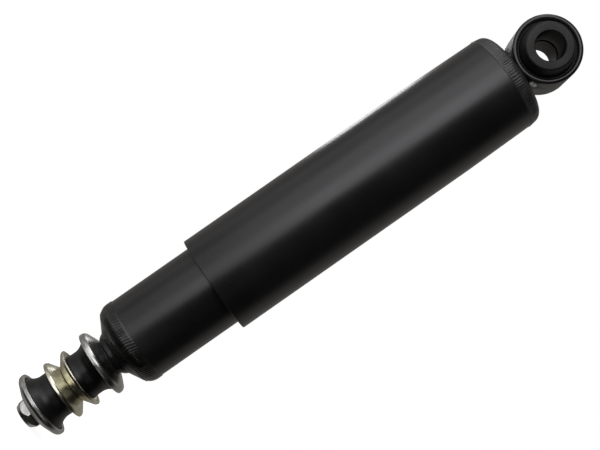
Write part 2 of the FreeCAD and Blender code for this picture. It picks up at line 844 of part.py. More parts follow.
def stem_washer():
    """Large dished washer against the collar, its bowl open downwards and its rim turned down."""
    path = [
        (stem_cup_r, -STEM_CUP_HEIGHT, STEM_CUP_EDGE),
        (stem_cup_r, STEM_CUP_RIM - STEM_CUP_HEIGHT, STEM_CUP_SHOULDER),
        (STEM_CUP_FLAT_DIA / 2, 0, STEM_CUP_BEND),
        (washer_hole_r, 0),
    ]
    return turned(sheet(path, STEM_CUP_WALL))


def bracket_washer():
    """Smaller cup washer, its back on the bracket plane and its rim turned up round the upper bush."""
    rim = bracket_plane + BRACKET_CUP_HEIGHT
    path = [
        (washer_hole_r, bracket_plane),
        (BRACKET_CUP_FLAT_DIA / 2, bracket_plane, BRACKET_CUP_BEND),
        (bracket_cup_r, rim - BRACKET_CUP_RIM, BRACKET_CUP_SHOULDER),
        (bracket_cup_r, rim, BRACKET_CUP_EDGE),
    ]
    return turned(sheet(path, BRACKET_CUP_WALL))


def stem_bush():
    """Waisted rubber bush between two cups, tapered at its ends and flared to fill the large cup's mouth."""
    face_r = STEM_BUSH_FACE_DIA / 2
    cup_end_r = stem_cup_r - STEM_CUP_WALL - FREE_CLEARANCE
    cup_end = STEM_BUSH_DIP - STEM_CUP_HEIGHT
    bracket_end_r = bracket_cup_r - BRACKET_CUP_WALL - STEM_BUSH_BRACKET_GAP
    bracket_end = bracket_plane + BRACKET_CUP_HEIGHT - BRACKET_CUP_EDGE
    return turned(
        [
            (stem_r, upper_bush_bottom),
            (face_r, upper_bush_bottom),
            (bracket_end_r, bracket_end, EDGE),
            (waist_r, bracket_end + STEM_BUSH_BRACKET_FLARE, STEM_BUSH_FLARE_ROUND),
            (waist_r, cup_end - STEM_BUSH_FLARE, STEM_BUSH_FLARE_ROUND),
            (cup_end_r, cup_end, EDGE),
            (face_r, upper_bush_top),
            (stem_r, upper_bush_top),
        ]
    )


def stem_nut():
    """Hexagon nut, turned a little from square, with a tapered crown at its outer end."""
    bar = hexagon(NUT_ACROSS_FLATS, nut_bottom, nut_top)
    bar.rotate(ORIGIN, UP, NUT_TURN)
    crown_r = NUT_CROWN_DIA / 2
    taper = NUT_HEIGHT / math.tan(math.radians(NUT_CROWN_ANGLE))
    crown = turned(
        [(stem_r, nut_bottom), (crown_r, nut_bottom, 2 * EDGE), (crown_r + taper, nut_top), (stem_r, nut_top)]
    )
    return bar.common(crown)


def build():
    cap = base_cap()
    tube = reserve_tube()
    upper_cup = stem_washer()
    upper_bracket_cup = bracket_washer()
    upper_bush = stem_bush()
    return {
        "eye_ring": eye_ring(),
        "eye_bush_front": eye_bush(90),
        "eye_bush_rear": eye_bush(-90),
        "eye_weld": eye_weld(),
        "top_cap": top_cap(),
        "cover_weld": cover_weld(),
        "dust_cover": dust_cover(),
        "piston_rod": piston_rod(),
        "rebound_stop": rebound_stop(),
        "rebound_bumper": rebound_bumper(),
        "check_stop_washer": check_stop_washer(),
        "piston_check_spring": piston_check_spring(),
        "piston_check_plate": piston_check_plate(),
        "piston": piston(),
        "piston_band": piston_band(),
        "rebound_disc": rebound_disc(),
        "rebound_spring": rebound_spring(),
        "piston_nut": piston_nut(),
        "reserve_tube": tube,
        "pressure_tube": pressure_tube(),
        "rod_guide": rod_guide(),
        "guide_bush": guide_bush(),
        "guide_o_ring": guide_o_ring(),
        "rod_seal": rod_seal(),
        "seal_cap": seal_cap(),
        "base_cap": cap,
        "base_weld": base_weld(cap, tube),
        "stem": stem(),
        "stem_weld": stem_weld(cap),
        "base_valve_body": base_valve_body(cap),
        "base_valve_bolt": base_valve_bolt(),
        "base_valve_nut": base_valve_nut(),
        "base_check_plate": base_check_plate(),
        "base_check_spring": base_check_spring(),
        "compression_disc": compression_disc(),
        "compression_spring": compression_spring(),
        "stem_washer_upper": upper_cup,
        "stem_washer_lower": flip(upper_cup, bracket_plane),
        "bracket_washer_upper": upper_bracket_cup,
        "bracket_washer_lower": flip(upper_bracket_cup, bracket_plane),
        "stem_bush_upper": upper_bush,
        "stem_bush_lower": flip(upper_bush, bracket_plane),
        "stem_nut": stem_nut(),
    }


os.makedirs("parts", exist_ok=True)
for node, shape in build().items():
    shape.exportStep(f"parts/{node}.step")
    print(node, shape.ShapeType, shape.isValid(), len(shape.Solids), round(shape.Volume))
print("seat to eye", round(eye_z, 2), "cover", round(cover_bottom, 2), "to", round(cover_top, 2))
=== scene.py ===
# %% [markdown]
# # A twin-tube gas shock absorber
# The damper stands on its stem, with the eye at the top and the black dust cover between them.
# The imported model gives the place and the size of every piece, so this lesson only adds what the eye sees:
# rounded edges, weld ripples, rubber, plating and paint. Nothing is moved or resized.

# %% Load the fixed frame
import json
import math

import bmesh
import bpy
from mathutils import Matrix, Vector, noise

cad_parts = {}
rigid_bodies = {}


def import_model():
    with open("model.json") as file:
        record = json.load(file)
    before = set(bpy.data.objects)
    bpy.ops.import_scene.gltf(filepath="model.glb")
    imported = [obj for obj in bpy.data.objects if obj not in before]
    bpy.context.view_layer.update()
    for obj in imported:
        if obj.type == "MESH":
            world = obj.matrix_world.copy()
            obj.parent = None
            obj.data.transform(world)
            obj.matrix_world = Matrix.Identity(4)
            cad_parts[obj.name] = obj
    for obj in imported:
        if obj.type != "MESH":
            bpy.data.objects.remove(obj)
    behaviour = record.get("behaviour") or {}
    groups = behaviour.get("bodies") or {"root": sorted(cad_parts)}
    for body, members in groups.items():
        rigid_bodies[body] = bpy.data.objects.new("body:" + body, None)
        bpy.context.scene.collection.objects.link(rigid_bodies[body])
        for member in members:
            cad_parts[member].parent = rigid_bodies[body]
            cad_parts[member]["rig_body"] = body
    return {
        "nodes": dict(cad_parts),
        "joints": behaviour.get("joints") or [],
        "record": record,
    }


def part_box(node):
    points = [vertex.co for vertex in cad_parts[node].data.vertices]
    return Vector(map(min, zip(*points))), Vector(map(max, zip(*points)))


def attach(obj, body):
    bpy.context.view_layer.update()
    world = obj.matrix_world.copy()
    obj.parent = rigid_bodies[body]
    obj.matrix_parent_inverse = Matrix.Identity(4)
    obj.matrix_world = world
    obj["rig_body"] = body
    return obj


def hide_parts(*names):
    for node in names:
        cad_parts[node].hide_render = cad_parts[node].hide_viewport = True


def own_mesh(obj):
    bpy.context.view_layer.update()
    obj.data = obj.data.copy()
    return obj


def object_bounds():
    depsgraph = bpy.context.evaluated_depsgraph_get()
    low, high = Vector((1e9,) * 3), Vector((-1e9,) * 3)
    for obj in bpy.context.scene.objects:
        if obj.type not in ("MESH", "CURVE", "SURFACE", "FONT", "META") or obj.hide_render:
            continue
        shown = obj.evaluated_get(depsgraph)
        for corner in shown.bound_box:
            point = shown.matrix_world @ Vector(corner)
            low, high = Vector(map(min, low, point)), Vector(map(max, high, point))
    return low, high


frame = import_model()
cad_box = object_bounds()
MM = 0.001

# %% [markdown]
# ## Places that come from the frame
# Each turned piece needs a few heights and radii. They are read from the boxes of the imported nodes, so a
# change of size in the model moves the looks with it. All lathe work happens round the Z axis, and the
# seat of the stem's collar is at height 0.

# %% Heights and radii of the main pieces
cover_low, cover_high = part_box("dust_cover")
tube_low, tube_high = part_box("reserve_tube")
cap_low, cap_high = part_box("top_cap")
ring_low, ring_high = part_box("eye_ring")
dome_low, dome_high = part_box("base_cap")
stem_low, stem_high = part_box("stem")
cup_low, cup_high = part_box("stem_washer_upper")
bracket_low, bracket_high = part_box("bracket_washer_upper")
nut_low, nut_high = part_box("stem_nut")
cover_r = cover_high.x
tube_r = tube_high.x
eye_r = ring_high.x
eye_z = (ring_low.z + ring_high.z) / 2
cup_r = cup_high.x
bracket_r = bracket_high.x
print("eye height mm", round(eye_z / MM, 2), "cover radius mm", round(cover_r / MM, 2))

# %% [markdown]
# ## A small lathe
# Most of a damper is turned, drawn or pressed round one axis. The profile is a closed wire of a few
# corners in the XZ plane. A vertex bevel rounds the corners, and a full spin with merging makes the skin.
# Doubles are merged before the normals are recalculated, so the skin is closed and faces outwards.

# %% Lathe helpers
LATHE_STEPS = 160
CORNER_SEGMENTS = 8
ROUND_PROFILE = 0.5
STRAIGHT_SHARE = 0.02
MERGE = 1e-7
SMOOTH_ANGLE = math.radians(25)


def rounded_profile(corners):
    """Closed wire through (radius, height, corner radius) in metres, as a new bmesh."""
    bm = bmesh.new()
    spots = [bm.verts.new((corner[0], 0, corner[1])) for corner in corners]
    reaches = []
    for here, corner in enumerate(corners):
        back = spots[here - 1].co - spots[here].co
        ahead = spots[(here + 1) % len(corners)].co - spots[here].co
        radius = corner[2] if len(corner) > 2 else 0
        reaches.append(radius / math.tan(back.angle(ahead) / 2))
    shares = [1.0] * len(corners)
    for here, spot in enumerate(spots):
        edge = bm.edges.new((spots[here - 1], spot))
        room = (1 - STRAIGHT_SHARE) * edge.calc_length()
        wanted = reaches[here - 1] + reaches[here]
        if wanted > room:
            shares[here - 1] = min(shares[here - 1], room / wanted)
            shares[here] = min(shares[here], room / wanted)
    for spot, reach, share in zip(spots, reaches, shares):
        if reach > MERGE:
            bmesh.ops.bevel(
                bm, geom=[spot], offset=reach * share, offset_type="OFFSET", affect="VERTICES",
                segments=CORNER_SEGMENTS, profile=ROUND_PROFILE, material=-1,
            )
    return bm


def polar(point):
    """Distance from the axis and angle round it."""
    return math.hypot(point.x, point.y), math.atan2(point.y, point.x)


def is_hoop(one, other):
    """True for an edge that runs round the axis."""
    level = abs(one.co.z - other.co.z) < MERGE
    return level and abs(polar(one.co)[0] - polar(other.co)[0]) < MERGE


def lathe(corners, steps=LATHE_STEPS, longest=None, finer=0):
    """Spin a closed profile once round Z. Edges over the longest length and the hoops can be divided."""
    bm = rounded_profile(corners)
    if longest:
        for edge in bm.edges[:]:
            cuts = int(edge.calc_length() / longest)
            if cuts:
                bmesh.ops.subdivide_edges(bm, edges=[edge], cuts=cuts)
    bmesh.ops.spin(
        bm, geom=bm.verts[:] + bm.edges[:], cent=(0, 0, 0), axis=(0, 0, 1),
        angle=2 * math.pi, steps=steps, use_merge=True,
    )
    bmesh.ops.remove_doubles(bm, verts=bm.verts, dist=MERGE)
    bmesh.ops.dissolve_degenerate(bm, dist=MERGE, edges=bm.edges)
    if finer:
        hoops = [edge for edge in bm.edges if is_hoop(*edge.verts)]
        bmesh.ops.subdivide_edges(bm, edges=hoops, cuts=finer, use_grid_fill=True)
    bmesh.ops.recalc_face_normals(bm, faces=bm.faces)
    return bm


def pressed(path, wall):
    """Closed outline of pressed sheet: an open path and the same path moved to its left by the wall."""
    moved = []
    for here, point in enumerate(path):
        spot = Vector(point[:2])
        sides = []
        if here > 0:
            sides.append((spot - Vector(path[here - 1][:2])).normalized())
        if here < len(path) - 1:
            sides.append((Vector(path[here + 1][:2]) - spot).normalized())
        normals = [Vector((-side.y, side.x)) for side in sides]
        step = sum(normals, Vector((0, 0)))
        step *= 2 / (len(normals) * (1 + normals[0].dot(normals[-1])))
        offset_spot = spot + step * wall
        bend = math.copysign(wall, sides[0].cross(sides[-1])) if len(sides) > 1 else 0
        radius = point[2] - bend if len(point) > 2 else 0
        moved.append((offset_spot.x, offset_spot.y, max(radius, 0)))
    return list(path) + moved[::-1]


def turn_over(bm, height):
    """Turn a piece end for end about a height on the axis."""
    bmesh.ops.rotate(bm, verts=bm.verts, cent=(0, 0, height), matrix=Matrix.Rotation(math.pi, 3, "X"))


print("lathe ready with", LATHE_STEPS, "steps")

# %% [markdown]
# ## Shared surface effects
# Paint, rubber and plating each show the same few effects at different strength: a fine grain in the
# surface, slow clouds of colour or gloss, and the rings that a press or a lathe leaves on metal. They are
# node groups with named sockets, built once. They read Object coordinates, so a pattern stays with its
# piece.

# %% Node helpers
def place(tree, kind, sockets=None, **settings):
    """Add a node, set its properties and the values of its input sockets."""
    made = tree.nodes.new(kind)
    for key, value in settings.items():
        setattr(made, key, value)
    for key, value in (sockets or {}).items():
        made.inputs[key].default_value = value
    return made


def new_group(name, inputs, outputs):
    """Empty group with number sockets, and its two end nodes."""
    tree = bpy.data.node_groups.new(name, "ShaderNodeTree")
    for label, value in inputs.items():
        socket = tree.interface.new_socket(label, in_out="INPUT", socket_type="NodeSocketFloat")
        socket.default_value = value
    for label in outputs:
        tree.interface.new_socket(label, in_out="OUTPUT", socket_type="NodeSocketFloat")
    return tree, tree.nodes.new("NodeGroupInput"), tree.nodes.new("NodeGroupOutput")


def spread(tree, source, target, low, high):
    """Stretch the values between low and high over 0 to 1."""
    ramp = place(tree, "ShaderNodeMapRange", {"From Min": low, "From Max": high})
    tree.links.new(source, ramp.inputs["Value"])
    tree.links.new(ramp.outputs["Result"], target)


# %% Skin group: fine grain and slow clouds
def surface_skin():
    tree, entry, leave = new_group(
        "surface_skin",
        {"Grain Scale": 900.0, "Cloud Scale": 25.0},
        ("Grain", "Cloud"),
    )
    where = place(tree, "ShaderNodeTexCoord").outputs["Object"]
    grain = place(tree, "ShaderNodeTexNoise", {"Detail": 3.0, "Roughness": 0.55})
    cloud = place(tree, "ShaderNodeTexNoise", {"Detail": 4.0, "Roughness": 0.6})
    for texture, label in ((grain, "Grain Scale"), (cloud, "Cloud Scale")):
        tree.links.new(where, texture.inputs["Vector"])
        tree.links.new(entry.outputs[label], texture.inputs["Scale"])
    tree.links.new(grain.outputs["Fac"], leave.inputs["Grain"])
    spread(tree, cloud.outputs["Fac"], leave.inputs["Cloud"], low=0.35, high=0.68)
    return tree


# %% Turned-metal group: rings round the axis, tarnish clouds and pits
def turned_metal():
    tree, entry, leave = new_group(
        "turned_metal",
        {"Ring Scale": 1400.0, "Tarnish Scale": 60.0, "Pit Scale": 900.0},
        ("Rings", "Tarnish", "Pits"),
    )
    where = place(tree, "ShaderNodeTexCoord").outputs["Object"]
    split = place(tree, "ShaderNodeSeparateXYZ")
    flat = place(tree, "ShaderNodeCombineXYZ")
    length = place(tree, "ShaderNodeVectorMath", operation="LENGTH")
    section = place(tree, "ShaderNodeCombineXYZ")
    tree.links.new(where, split.inputs["Vector"])
    tree.links.new(split.outputs["X"], flat.inputs["X"])
    tree.links.new(split.outputs["Y"], flat.inputs["Y"])
    tree.links.new(flat.outputs["Vector"], length.inputs[0])
    tree.links.new(length.outputs["Value"], section.inputs["X"])
    tree.links.new(split.outputs["Z"], section.inputs["Y"])
    rings = place(tree, "ShaderNodeTexNoise", {"Detail": 2.0})
    tarnish = place(tree, "ShaderNodeTexNoise", {"Detail": 5.0, "Roughness": 0.62, "Distortion": 0.6})
    pits = place(tree, "ShaderNodeTexNoise", {"Detail": 2.0})
    for texture, label, source in (
        (rings, "Ring Scale", section.outputs["Vector"]),
        (tarnish, "Tarnish Scale", where),
        (pits, "Pit Scale", where),
    ):
        tree.links.new(source, texture.inputs["Vector"])
        tree.links.new(entry.outputs[label], texture.inputs["Scale"])
    tree.links.new(rings.outputs["Fac"], leave.inputs["Rings"])
    spread(tree, tarnish.outputs["Fac"], leave.inputs["Tarnish"], low=0.34, high=0.68)
    tree.links.new(pits.outputs["Fac"], leave.inputs["Pits"])
    return tree


SKIN = surface_skin()
METAL = turned_metal()
print("groups", [tree.name for tree in bpy.data.node_groups])

# %% [markdown]
# ## Finishes
# A finish is one Principled shader. A mask from a group picks the colour along a ramp and sets the
# roughness, and a relief goes through a Bump node. Values that are the same all over, such as the specular
# level, are set on the shader itself. There are two families: coats, whose mask is the clouds and whose
# relief is the grain, and metals, whose mask is the tarnish and whose relief is the rings or the pits.

# %% One function that wires a finish, and one for each family
def finish(name, group, scales, mask, colours, rough, relief, bump, **shader):
    """Principled material. Colours are (place on the ramp, colour), bump is (strength, depth in mm)."""
    material = bpy.data.materials.new(name)
    material.use_nodes = True
    tree = material.node_tree
    principled = tree.nodes["Principled BSDF"]
    effect = place(tree, "ShaderNodeGroup", scales, node_tree=group)
    ramp = place(tree, "ShaderNodeValToRGB")
    stops = ramp.color_ramp.elements
    while len(stops) < len(colours):
        stops.new(0.5)
    for stop, (where, colour) in zip(stops, colours):
        stop.position = where
        stop.color = (*colour, 1)
    tree.links.new(effect.outputs[mask], ramp.inputs["Fac"])
    tree.links.new(ramp.outputs["Color"], principled.inputs["Base Color"])
    gloss = place(tree, "ShaderNodeMapRange", {"To Min": rough[0], "To Max": rough[1]})
    tree.links.new(effect.outputs[mask], gloss.inputs["Value"])
    tree.links.new(gloss.outputs["Result"], principled.inputs["Roughness"])
    bumps = place(tree, "ShaderNodeBump", {"Strength": bump[0], "Distance": bump[1] * MM})
    tree.links.new(effect.outputs[relief], bumps.inputs["Height"])
    tree.links.new(bumps.outputs["Normal"], principled.inputs["Normal"])
    for label, value in shader.items():
        principled.inputs[label.replace("_", " ")].default_value = value
    print("finish", name, "roughness", rough)
    return material


def coat(name, grain, cloud, dark, light, rough, bump, **shader):
    """Paint, rubber or another dull skin, with the scales of its grain and its clouds."""
    scales = {"Grain Scale": grain, "Cloud Scale": cloud}
    colours = [(0.0, dark), (1.0, light)]
    return finish(name, SKIN, scales, "Cloud", colours, rough, "Grain", bump, **shader)


def metal(name, rings, tarnish, pits, dark, light, rough, bump, between=(), relief="Rings"):
    """Bare or plated metal, with the scales of its rings, its tarnish and its pits."""
    scales = {"Ring Scale": rings, "Tarnish Scale": tarnish, "Pit Scale": pits}
    colours = [(0.0, dark), *between, (1.0, light)]
    return finish(name, METAL, scales, "Tarnish", colours, rough, relief, bump, Metallic=1.0)


# %% [markdown]
# ### Black paint
# The tubes carry a thin satin black paint with a faint orange peel. The collar and the rims of the eye ring
# look glossier. On the fine weld of the base the paint lies smooth. On the coarse welds at the eye and on
# the outside of the ring it lies on a rough crust, so it breaks the light into small sparks. The drops at
# the ends of the eye's beads get a light grey colour, a painted highlight that stands in for their glints.

# %% Paints
satin_black = coat(
    "satin_black_paint", grain=420, cloud=16,
    dark=(0.0072, 0.0070, 0.0072), light=(0.0115, 0.0112, 0.0115),
    rough=(0.27, 0.35), bump=(0.12, 0.05), Specular_IOR_Level=0.5,
)
gloss_black = coat(
    "gloss_black_enamel", grain=300, cloud=40,
    dark=(0.008, 0.008, 0.009), light=(0.014, 0.014, 0.015),
    rough=(0.14, 0.22), bump=(0.25, 0.08), Specular_IOR_Level=0.4,
)
WELD_SCALES = {"grain": 1100, "cloud": 120}
CRUST_BUMP = (0.45, 0.12)
CRUST_COLOURS = {"dark": (0.012, 0.012, 0.0125), "light": (0.034, 0.034, 0.034)}
weld_black = coat(
    "painted_fine_weld", **WELD_SCALES,
    dark=(0.005, 0.0048, 0.0044), light=(0.016, 0.0152, 0.0135),
    rough=(0.22, 0.34), bump=(0.20, 0.08), Specular_IOR_Level=0.5,
)
crust_black = coat(
    "painted_weld_crust", **WELD_SCALES, **CRUST_COLOURS,
    rough=(0.30, 0.46), bump=CRUST_BUMP, Specular_IOR_Level=0.5,
)
ring_crust = coat(
    "painted_ring_crust", **WELD_SCALES, **CRUST_COLOURS,
    rough=(0.36, 0.52), bump=CRUST_BUMP, Specular_IOR_Level=0.40,
)
# The light grey of the drops is a painted highlight that stands in for their glints.
weld_drop_painted_glint = coat(
    "weld_drop_painted_glint_finish", **WELD_SCALES,
    dark=(0.10, 0.10, 0.097), light=(0.24, 0.238, 0.23),
    rough=(0.30, 0.46), bump=CRUST_BUMP, Specular_IOR_Level=0.5,
)

# %% [markdown]
# ### Rubber
# The eye bush is a dull dark grey. Its bore is darker and gleams less, a painted shade for the inside of the
# hole.
# The stem bushes are smoother and a little shiny, as rubber is when it comes from a polished mould.

# %% Rubbers
BUSH_SCALES = {"grain": 1500, "cloud": 60}
BUSH_BUMP = (0.25, 0.06)
eye_rubber = coat(
    "eye_bush_rubber", **BUSH_SCALES,
    dark=(0.003, 0.003, 0.0027), light=(0.006, 0.006, 0.0054),
    rough=(0.42, 0.54), bump=BUSH_BUMP, Specular_IOR_Level=0.32,
)
# The bore's darker colour is painted shade for the inside of the hole.
bore_rubber_painted_shade = coat(
    "eye_bore_painted_shade_rubber", **BUSH_SCALES,
    dark=(0.002, 0.002, 0.0018), light=(0.004, 0.004, 0.0036),
    rough=(0.46, 0.58), bump=BUSH_BUMP, Specular_IOR_Level=0.14,
)
stem_rubber = coat(
    "stem_bush_rubber", grain=900, cloud=45,
    dark=(0.004, 0.0038, 0.004), light=(0.008, 0.0078, 0.008),
    rough=(0.32, 0.40), bump=(0.15, 0.05), Specular_IOR_Level=0.36,
)

# %% [markdown]
# ### Plated steel
# The large cups and the nut are bright zinc, and the small cups have a yellow chromate with a trace of
# green and pink in it. All are metals with soft tarnish clouds. The cups also show the fine rings that a
# press leaves, and the nut shows fine pits.

# %% Platings
silver_zinc = metal(
    "silver_zinc_plate", rings=1500, tarnish=90, pits=1300,
    dark=(0.34, 0.34, 0.32), light=(0.64, 0.63, 0.60), between=[(0.6, (0.50, 0.50, 0.48))],
    rough=(0.24, 0.38), bump=(0.20, 0.05),
)
yellow_zinc = metal(
    "yellow_zinc_plate", rings=1500, tarnish=110, pits=1300,
    dark=(0.50, 0.46, 0.35), light=(0.74, 0.67, 0.57),
    between=[(0.45, (0.62, 0.59, 0.46)), (0.75, (0.68, 0.67, 0.55))],
    rough=(0.20, 0.29), bump=(0.20, 0.05),
)
nut_zinc = metal(
    "nut_zinc_plate", rings=700, tarnish=140, pits=1500,
    dark=(0.50, 0.49, 0.46), light=(0.74, 0.73, 0.70),
    rough=(0.20, 0.34), bump=(0.15, 0.05), relief="Pits",
)

# %% [markdown]
# ### Inside finishes
# The pieces inside the tubes are out of sight, but the model can be opened, so each has the finish of its
# trade: chromed rod, turned and pressed steel, sintered iron, bronze, nylon and nitrile rubber.

# %% Inside finishes by slot
inside = {
    "chromed_rod": metal(
        "hard_chrome", rings=3000, tarnish=30, pits=2000,
        dark=(0.60, 0.61, 0.62), light=(0.68, 0.69, 0.70),
        rough=(0.08, 0.14), bump=(0.05, 0.02),
    ),
    "steel": metal(
        "oiled_steel", rings=1200, tarnish=70, pits=900,
        dark=(0.28, 0.28, 0.27), light=(0.46, 0.45, 0.43),
        rough=(0.26, 0.42), bump=(0.15, 0.05),
    ),
    "sintered_iron": coat(
        "sintered_iron", grain=2200, cloud=80,
        dark=(0.14, 0.14, 0.135), light=(0.24, 0.235, 0.23),
        rough=(0.48, 0.66), bump=(0.40, 0.08), Metallic=1.0,
    ),
    "bronze": metal(
        "bearing_bronze", rings=1400, tarnish=90, pits=900,
        dark=(0.40, 0.25, 0.11), light=(0.58, 0.39, 0.19),
        rough=(0.26, 0.40), bump=(0.15, 0.05),
    ),
    "nylon": coat(
        "natural_nylon", grain=1200, cloud=50,
        dark=(0.60, 0.58, 0.50), light=(0.70, 0.68, 0.60),
        rough=(0.36, 0.48), bump=(0.15, 0.05), Specular_IOR_Level=0.5,
    ),
    "seal_rubber": coat(
        "nitrile_rubber", **BUSH_SCALES,
        dark=(0.014, 0.014, 0.015), light=(0.024, 0.024, 0.024),
        rough=(0.44, 0.58), bump=(0.20, 0.05), Specular_IOR_Level=0.4,
    ),
}
print("finishes", len(bpy.data.materials))

# %% [markdown]
# ## Setting a piece in the frame
# A finished bmesh becomes an object at the origin. It rides on the body of its node and takes the finishes
# it is given, and nearly every piece also takes the node's place. Faces are smooth, and only real corners
# stay sharp.

# %% Piece helpers
node_slots = {row["node"]: row["material_slot"] for row in frame["record"]["subparts"]}
pieces = {}


def add_piece(bm, name, node, *materials):
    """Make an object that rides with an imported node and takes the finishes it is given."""
    mesh = bpy.data.meshes.new(name)
    bm.to_mesh(mesh)
    bm.free()
    mesh.shade_smooth()
    mesh.set_sharp_from_angle(angle=SMOOTH_ANGLE)
    for material in materials:
        mesh.materials.append(material)
    piece = bpy.data.objects.new(name, mesh)
    bpy.context.scene.collection.objects.link(piece)
    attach(piece, frame["nodes"][node]["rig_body"])
    size = [round(side / MM, 2) for side in piece.dimensions]
    print(name, "faces", len(mesh.polygons), "size mm", size)
    return piece


def set_piece(bm, node, *materials):
    """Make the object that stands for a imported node."""
    piece = add_piece(bm, node + "_look", node, *materials)
    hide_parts(node)
    pieces[node] = piece
    low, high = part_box(node)
    print("    packed mm", [round(side / MM, 2) for side in high - low])


# %% [markdown]
# ## Dust cover and reserve tube
# Both are drawn tubes. The cover is drawn in slightly near its weld, and its lower rim is cut square with
# the burr taken off. The reserve tube has its upper lip rolled over the seal.

# %% Tubes
COVER_WALL = 1.5 * MM
COVER_DRAW = 0.7 * MM
COVER_DRAW_LENGTH = 47 * MM
TUBE_WALL = 2.0 * MM
TUBE_LIP = 3.4 * MM
RIM_ROUND = 0.5 * MM

draw_start = cover_high.z - COVER_DRAW_LENGTH
set_piece(
    lathe([
        (cover_r - COVER_WALL, cover_low.z, RIM_ROUND),
        (cover_r, cover_low.z, RIM_ROUND),
        (cover_r, draw_start),
        (cover_r - COVER_DRAW, cover_high.z),
        (cover_r - COVER_WALL - COVER_DRAW, cover_high.z),
        (cover_r - COVER_WALL, draw_start),
    ]),
    "dust_cover", satin_black,
)
lip_r = tube_r - TUBE_WALL - TUBE_LIP
set_piece(
    lathe([
        (tube_r - TUBE_WALL, tube_low.z),
        (tube_r, tube_low.z),
        (tube_r, tube_high.z, TUBE_WALL),
        (lip_r, tube_high.z, RIM_ROUND),
        (lip_r, tube_high.z - TUBE_WALL),
        (tube_r - TUBE_WALL, tube_high.z - TUBE_WALL, RIM_ROUND),
    ]),
    "reserve_tube", satin_black,
)

# %% [markdown]
# ## Cap and cover weld
# The cap is a pressed disc with a skirt. Its bevel and the end of the cover are joined by one bead, laid
# while the tube turned, so the bead has ripples all round and laps a little over the cover. A texture could
# draw the ripples, but they show in the outline. So the spin gives the bead, and its outer vertices move in
# and out with the angle: each ripple is a crescent, as a weld pool freezes.

# %% Cap and its weld
CAP_SKIRT_WALL = 2.0 * MM
CAP_THICKNESS = 3.0 * MM
CAP_BEVEL = 2.6 * MM
COVER_WELD_CROWN = 1.1 * MM
COVER_WELD_LEAN = 1.2 * MM
COVER_WELD_RUN = 4.0 * MM
COVER_WELD_ROUND = 5.2 * MM
COVER_TOE = 0.35 * MM
COVER_LAP = 0.3 * MM
COVER_LAP_WAVES = 11
COVER_RIPPLES = 107
COVER_RIPPLE_DEPTH = 0.35 * MM
COVER_RIPPLE_WANDER = 6
COVER_RIPPLE_BEND = 1
RIPPLE_CUTS = 8
RIPPLE_GRID = 0.7 * MM
RIPPLE_EDGE = 4
WANDER_WAVES = 4
PATCH_WAVES = 7
PATCH_LEVEL = 0.6
PATCH_SPREAD = 0.9

cap_r = cap_high.x
cap_inner_r = cap_r - CAP_SKIRT_WALL
set_piece(
    lathe([
        (0, cap_high.z - CAP_THICKNESS),
        (cap_inner_r, cap_high.z - CAP_THICKNESS, CAP_SKIRT_WALL),
        (cap_inner_r, cap_low.z),
        (cap_r, cap_low.z),
        (cap_r, cap_high.z - CAP_BEVEL),
        (cap_r - CAP_BEVEL, cap_high.z),
        (0, cap_high.z),
    ]),
    "top_cap", crust_black,
)


def ripple(bm, inner_r, low, high, count, depth, wander, bend):
    """Press crescents into the skin outside a radius and between two heights, deeper in some patches."""
    for spot in bm.verts:
        radius, turn = polar(spot.co)
        across = (2 * spot.co.z - low - high) / (high - low)
        if radius > inner_r and abs(across) < 1:
            ring = Vector((math.cos(turn), math.sin(turn), 0))
            phase = count * turn + bend * across * across + wander * noise.noise(WANDER_WAVES * ring)
            patch = PATCH_LEVEL + PATCH_SPREAD * noise.noise(PATCH_WAVES * ring)
            valley = 1 - abs(math.sin(phase / 2))
            spot.co -= ring * depth * max(patch, 0) * valley * (1 - across ** RIPPLE_EDGE)


bead_r = cover_r - COVER_DRAW
bead_toe = cover_high.z - COVER_LAP
bead_inner_r = cap_r - CAP_BEVEL - COVER_WELD_RUN
cover_weld = lathe([
    (cap_r, cover_high.z),
    (bead_r - COVER_TOE, cover_high.z),
    (bead_r - COVER_TOE, bead_toe),
    (bead_r + COVER_TOE, bead_toe + COVER_TOE, COVER_TOE),
    (bead_r - COVER_WELD_LEAN, cap_high.z + COVER_WELD_CROWN, COVER_WELD_ROUND),
    (bead_inner_r + COVER_WELD_CROWN, cap_high.z + COVER_WELD_CROWN, 2 * COVER_WELD_CROWN),
    (bead_inner_r, cap_high.z),
    (cap_r - CAP_BEVEL, cap_high.z),
    (cap_r, cap_high.z - CAP_BEVEL),
], COVER_RIPPLES, RIPPLE_GRID, RIPPLE_CUTS)
ripple(
    cover_weld, cap_r - CAP_BEVEL, cover_high.z, cap_high.z,
    COVER_RIPPLES, COVER_RIPPLE_DEPTH, COVER_RIPPLE_WANDER, COVER_RIPPLE_BEND,
)
for spot in cover_weld.verts:
    turn = polar(spot.co)[1]
    if spot.co.z < cover_high.z - MERGE:
        ring = Vector((COVER_LAP_WAVES * math.cos(turn), COVER_LAP_WAVES * math.sin(turn), 0))
        spot.co.z += COVER_LAP * noise.noise(ring)
set_piece(cover_weld, "cover_weld", crust_black)

# %% [markdown]
# ## Eye ring and bush
# The ring is a short length of thick tube that lies across the axis. The bush comes in two rubber halves,
# pushed in from the front and the rear: each has a cone that stands out of the ring and a flat face round
# the bore. They are turned round Z first, then tipped over and lifted to the eye.

# %% Eye
RING_WALL = 3.6 * MM
RING_ROUND = 1.7 * MM
BUSH_FACE_WALL = 5.6 * MM
BUSH_SETBACK = 3.0 * MM
BUSH_GROOVE = 1.0 * MM
BUSH_SEAM = 1.9 * MM
BUSH_SEAM_DEPTH = 1.5 * MM
BUSH_ROUND = 1.2 * MM
BORE_EDGE = 0.5 * MM
mount_sizes = {row["name"]: row["dims"] for row in frame["record"]["mounts"]}
eye_bore_r = mount_sizes["eye_bore"]["r_mm"] * MM


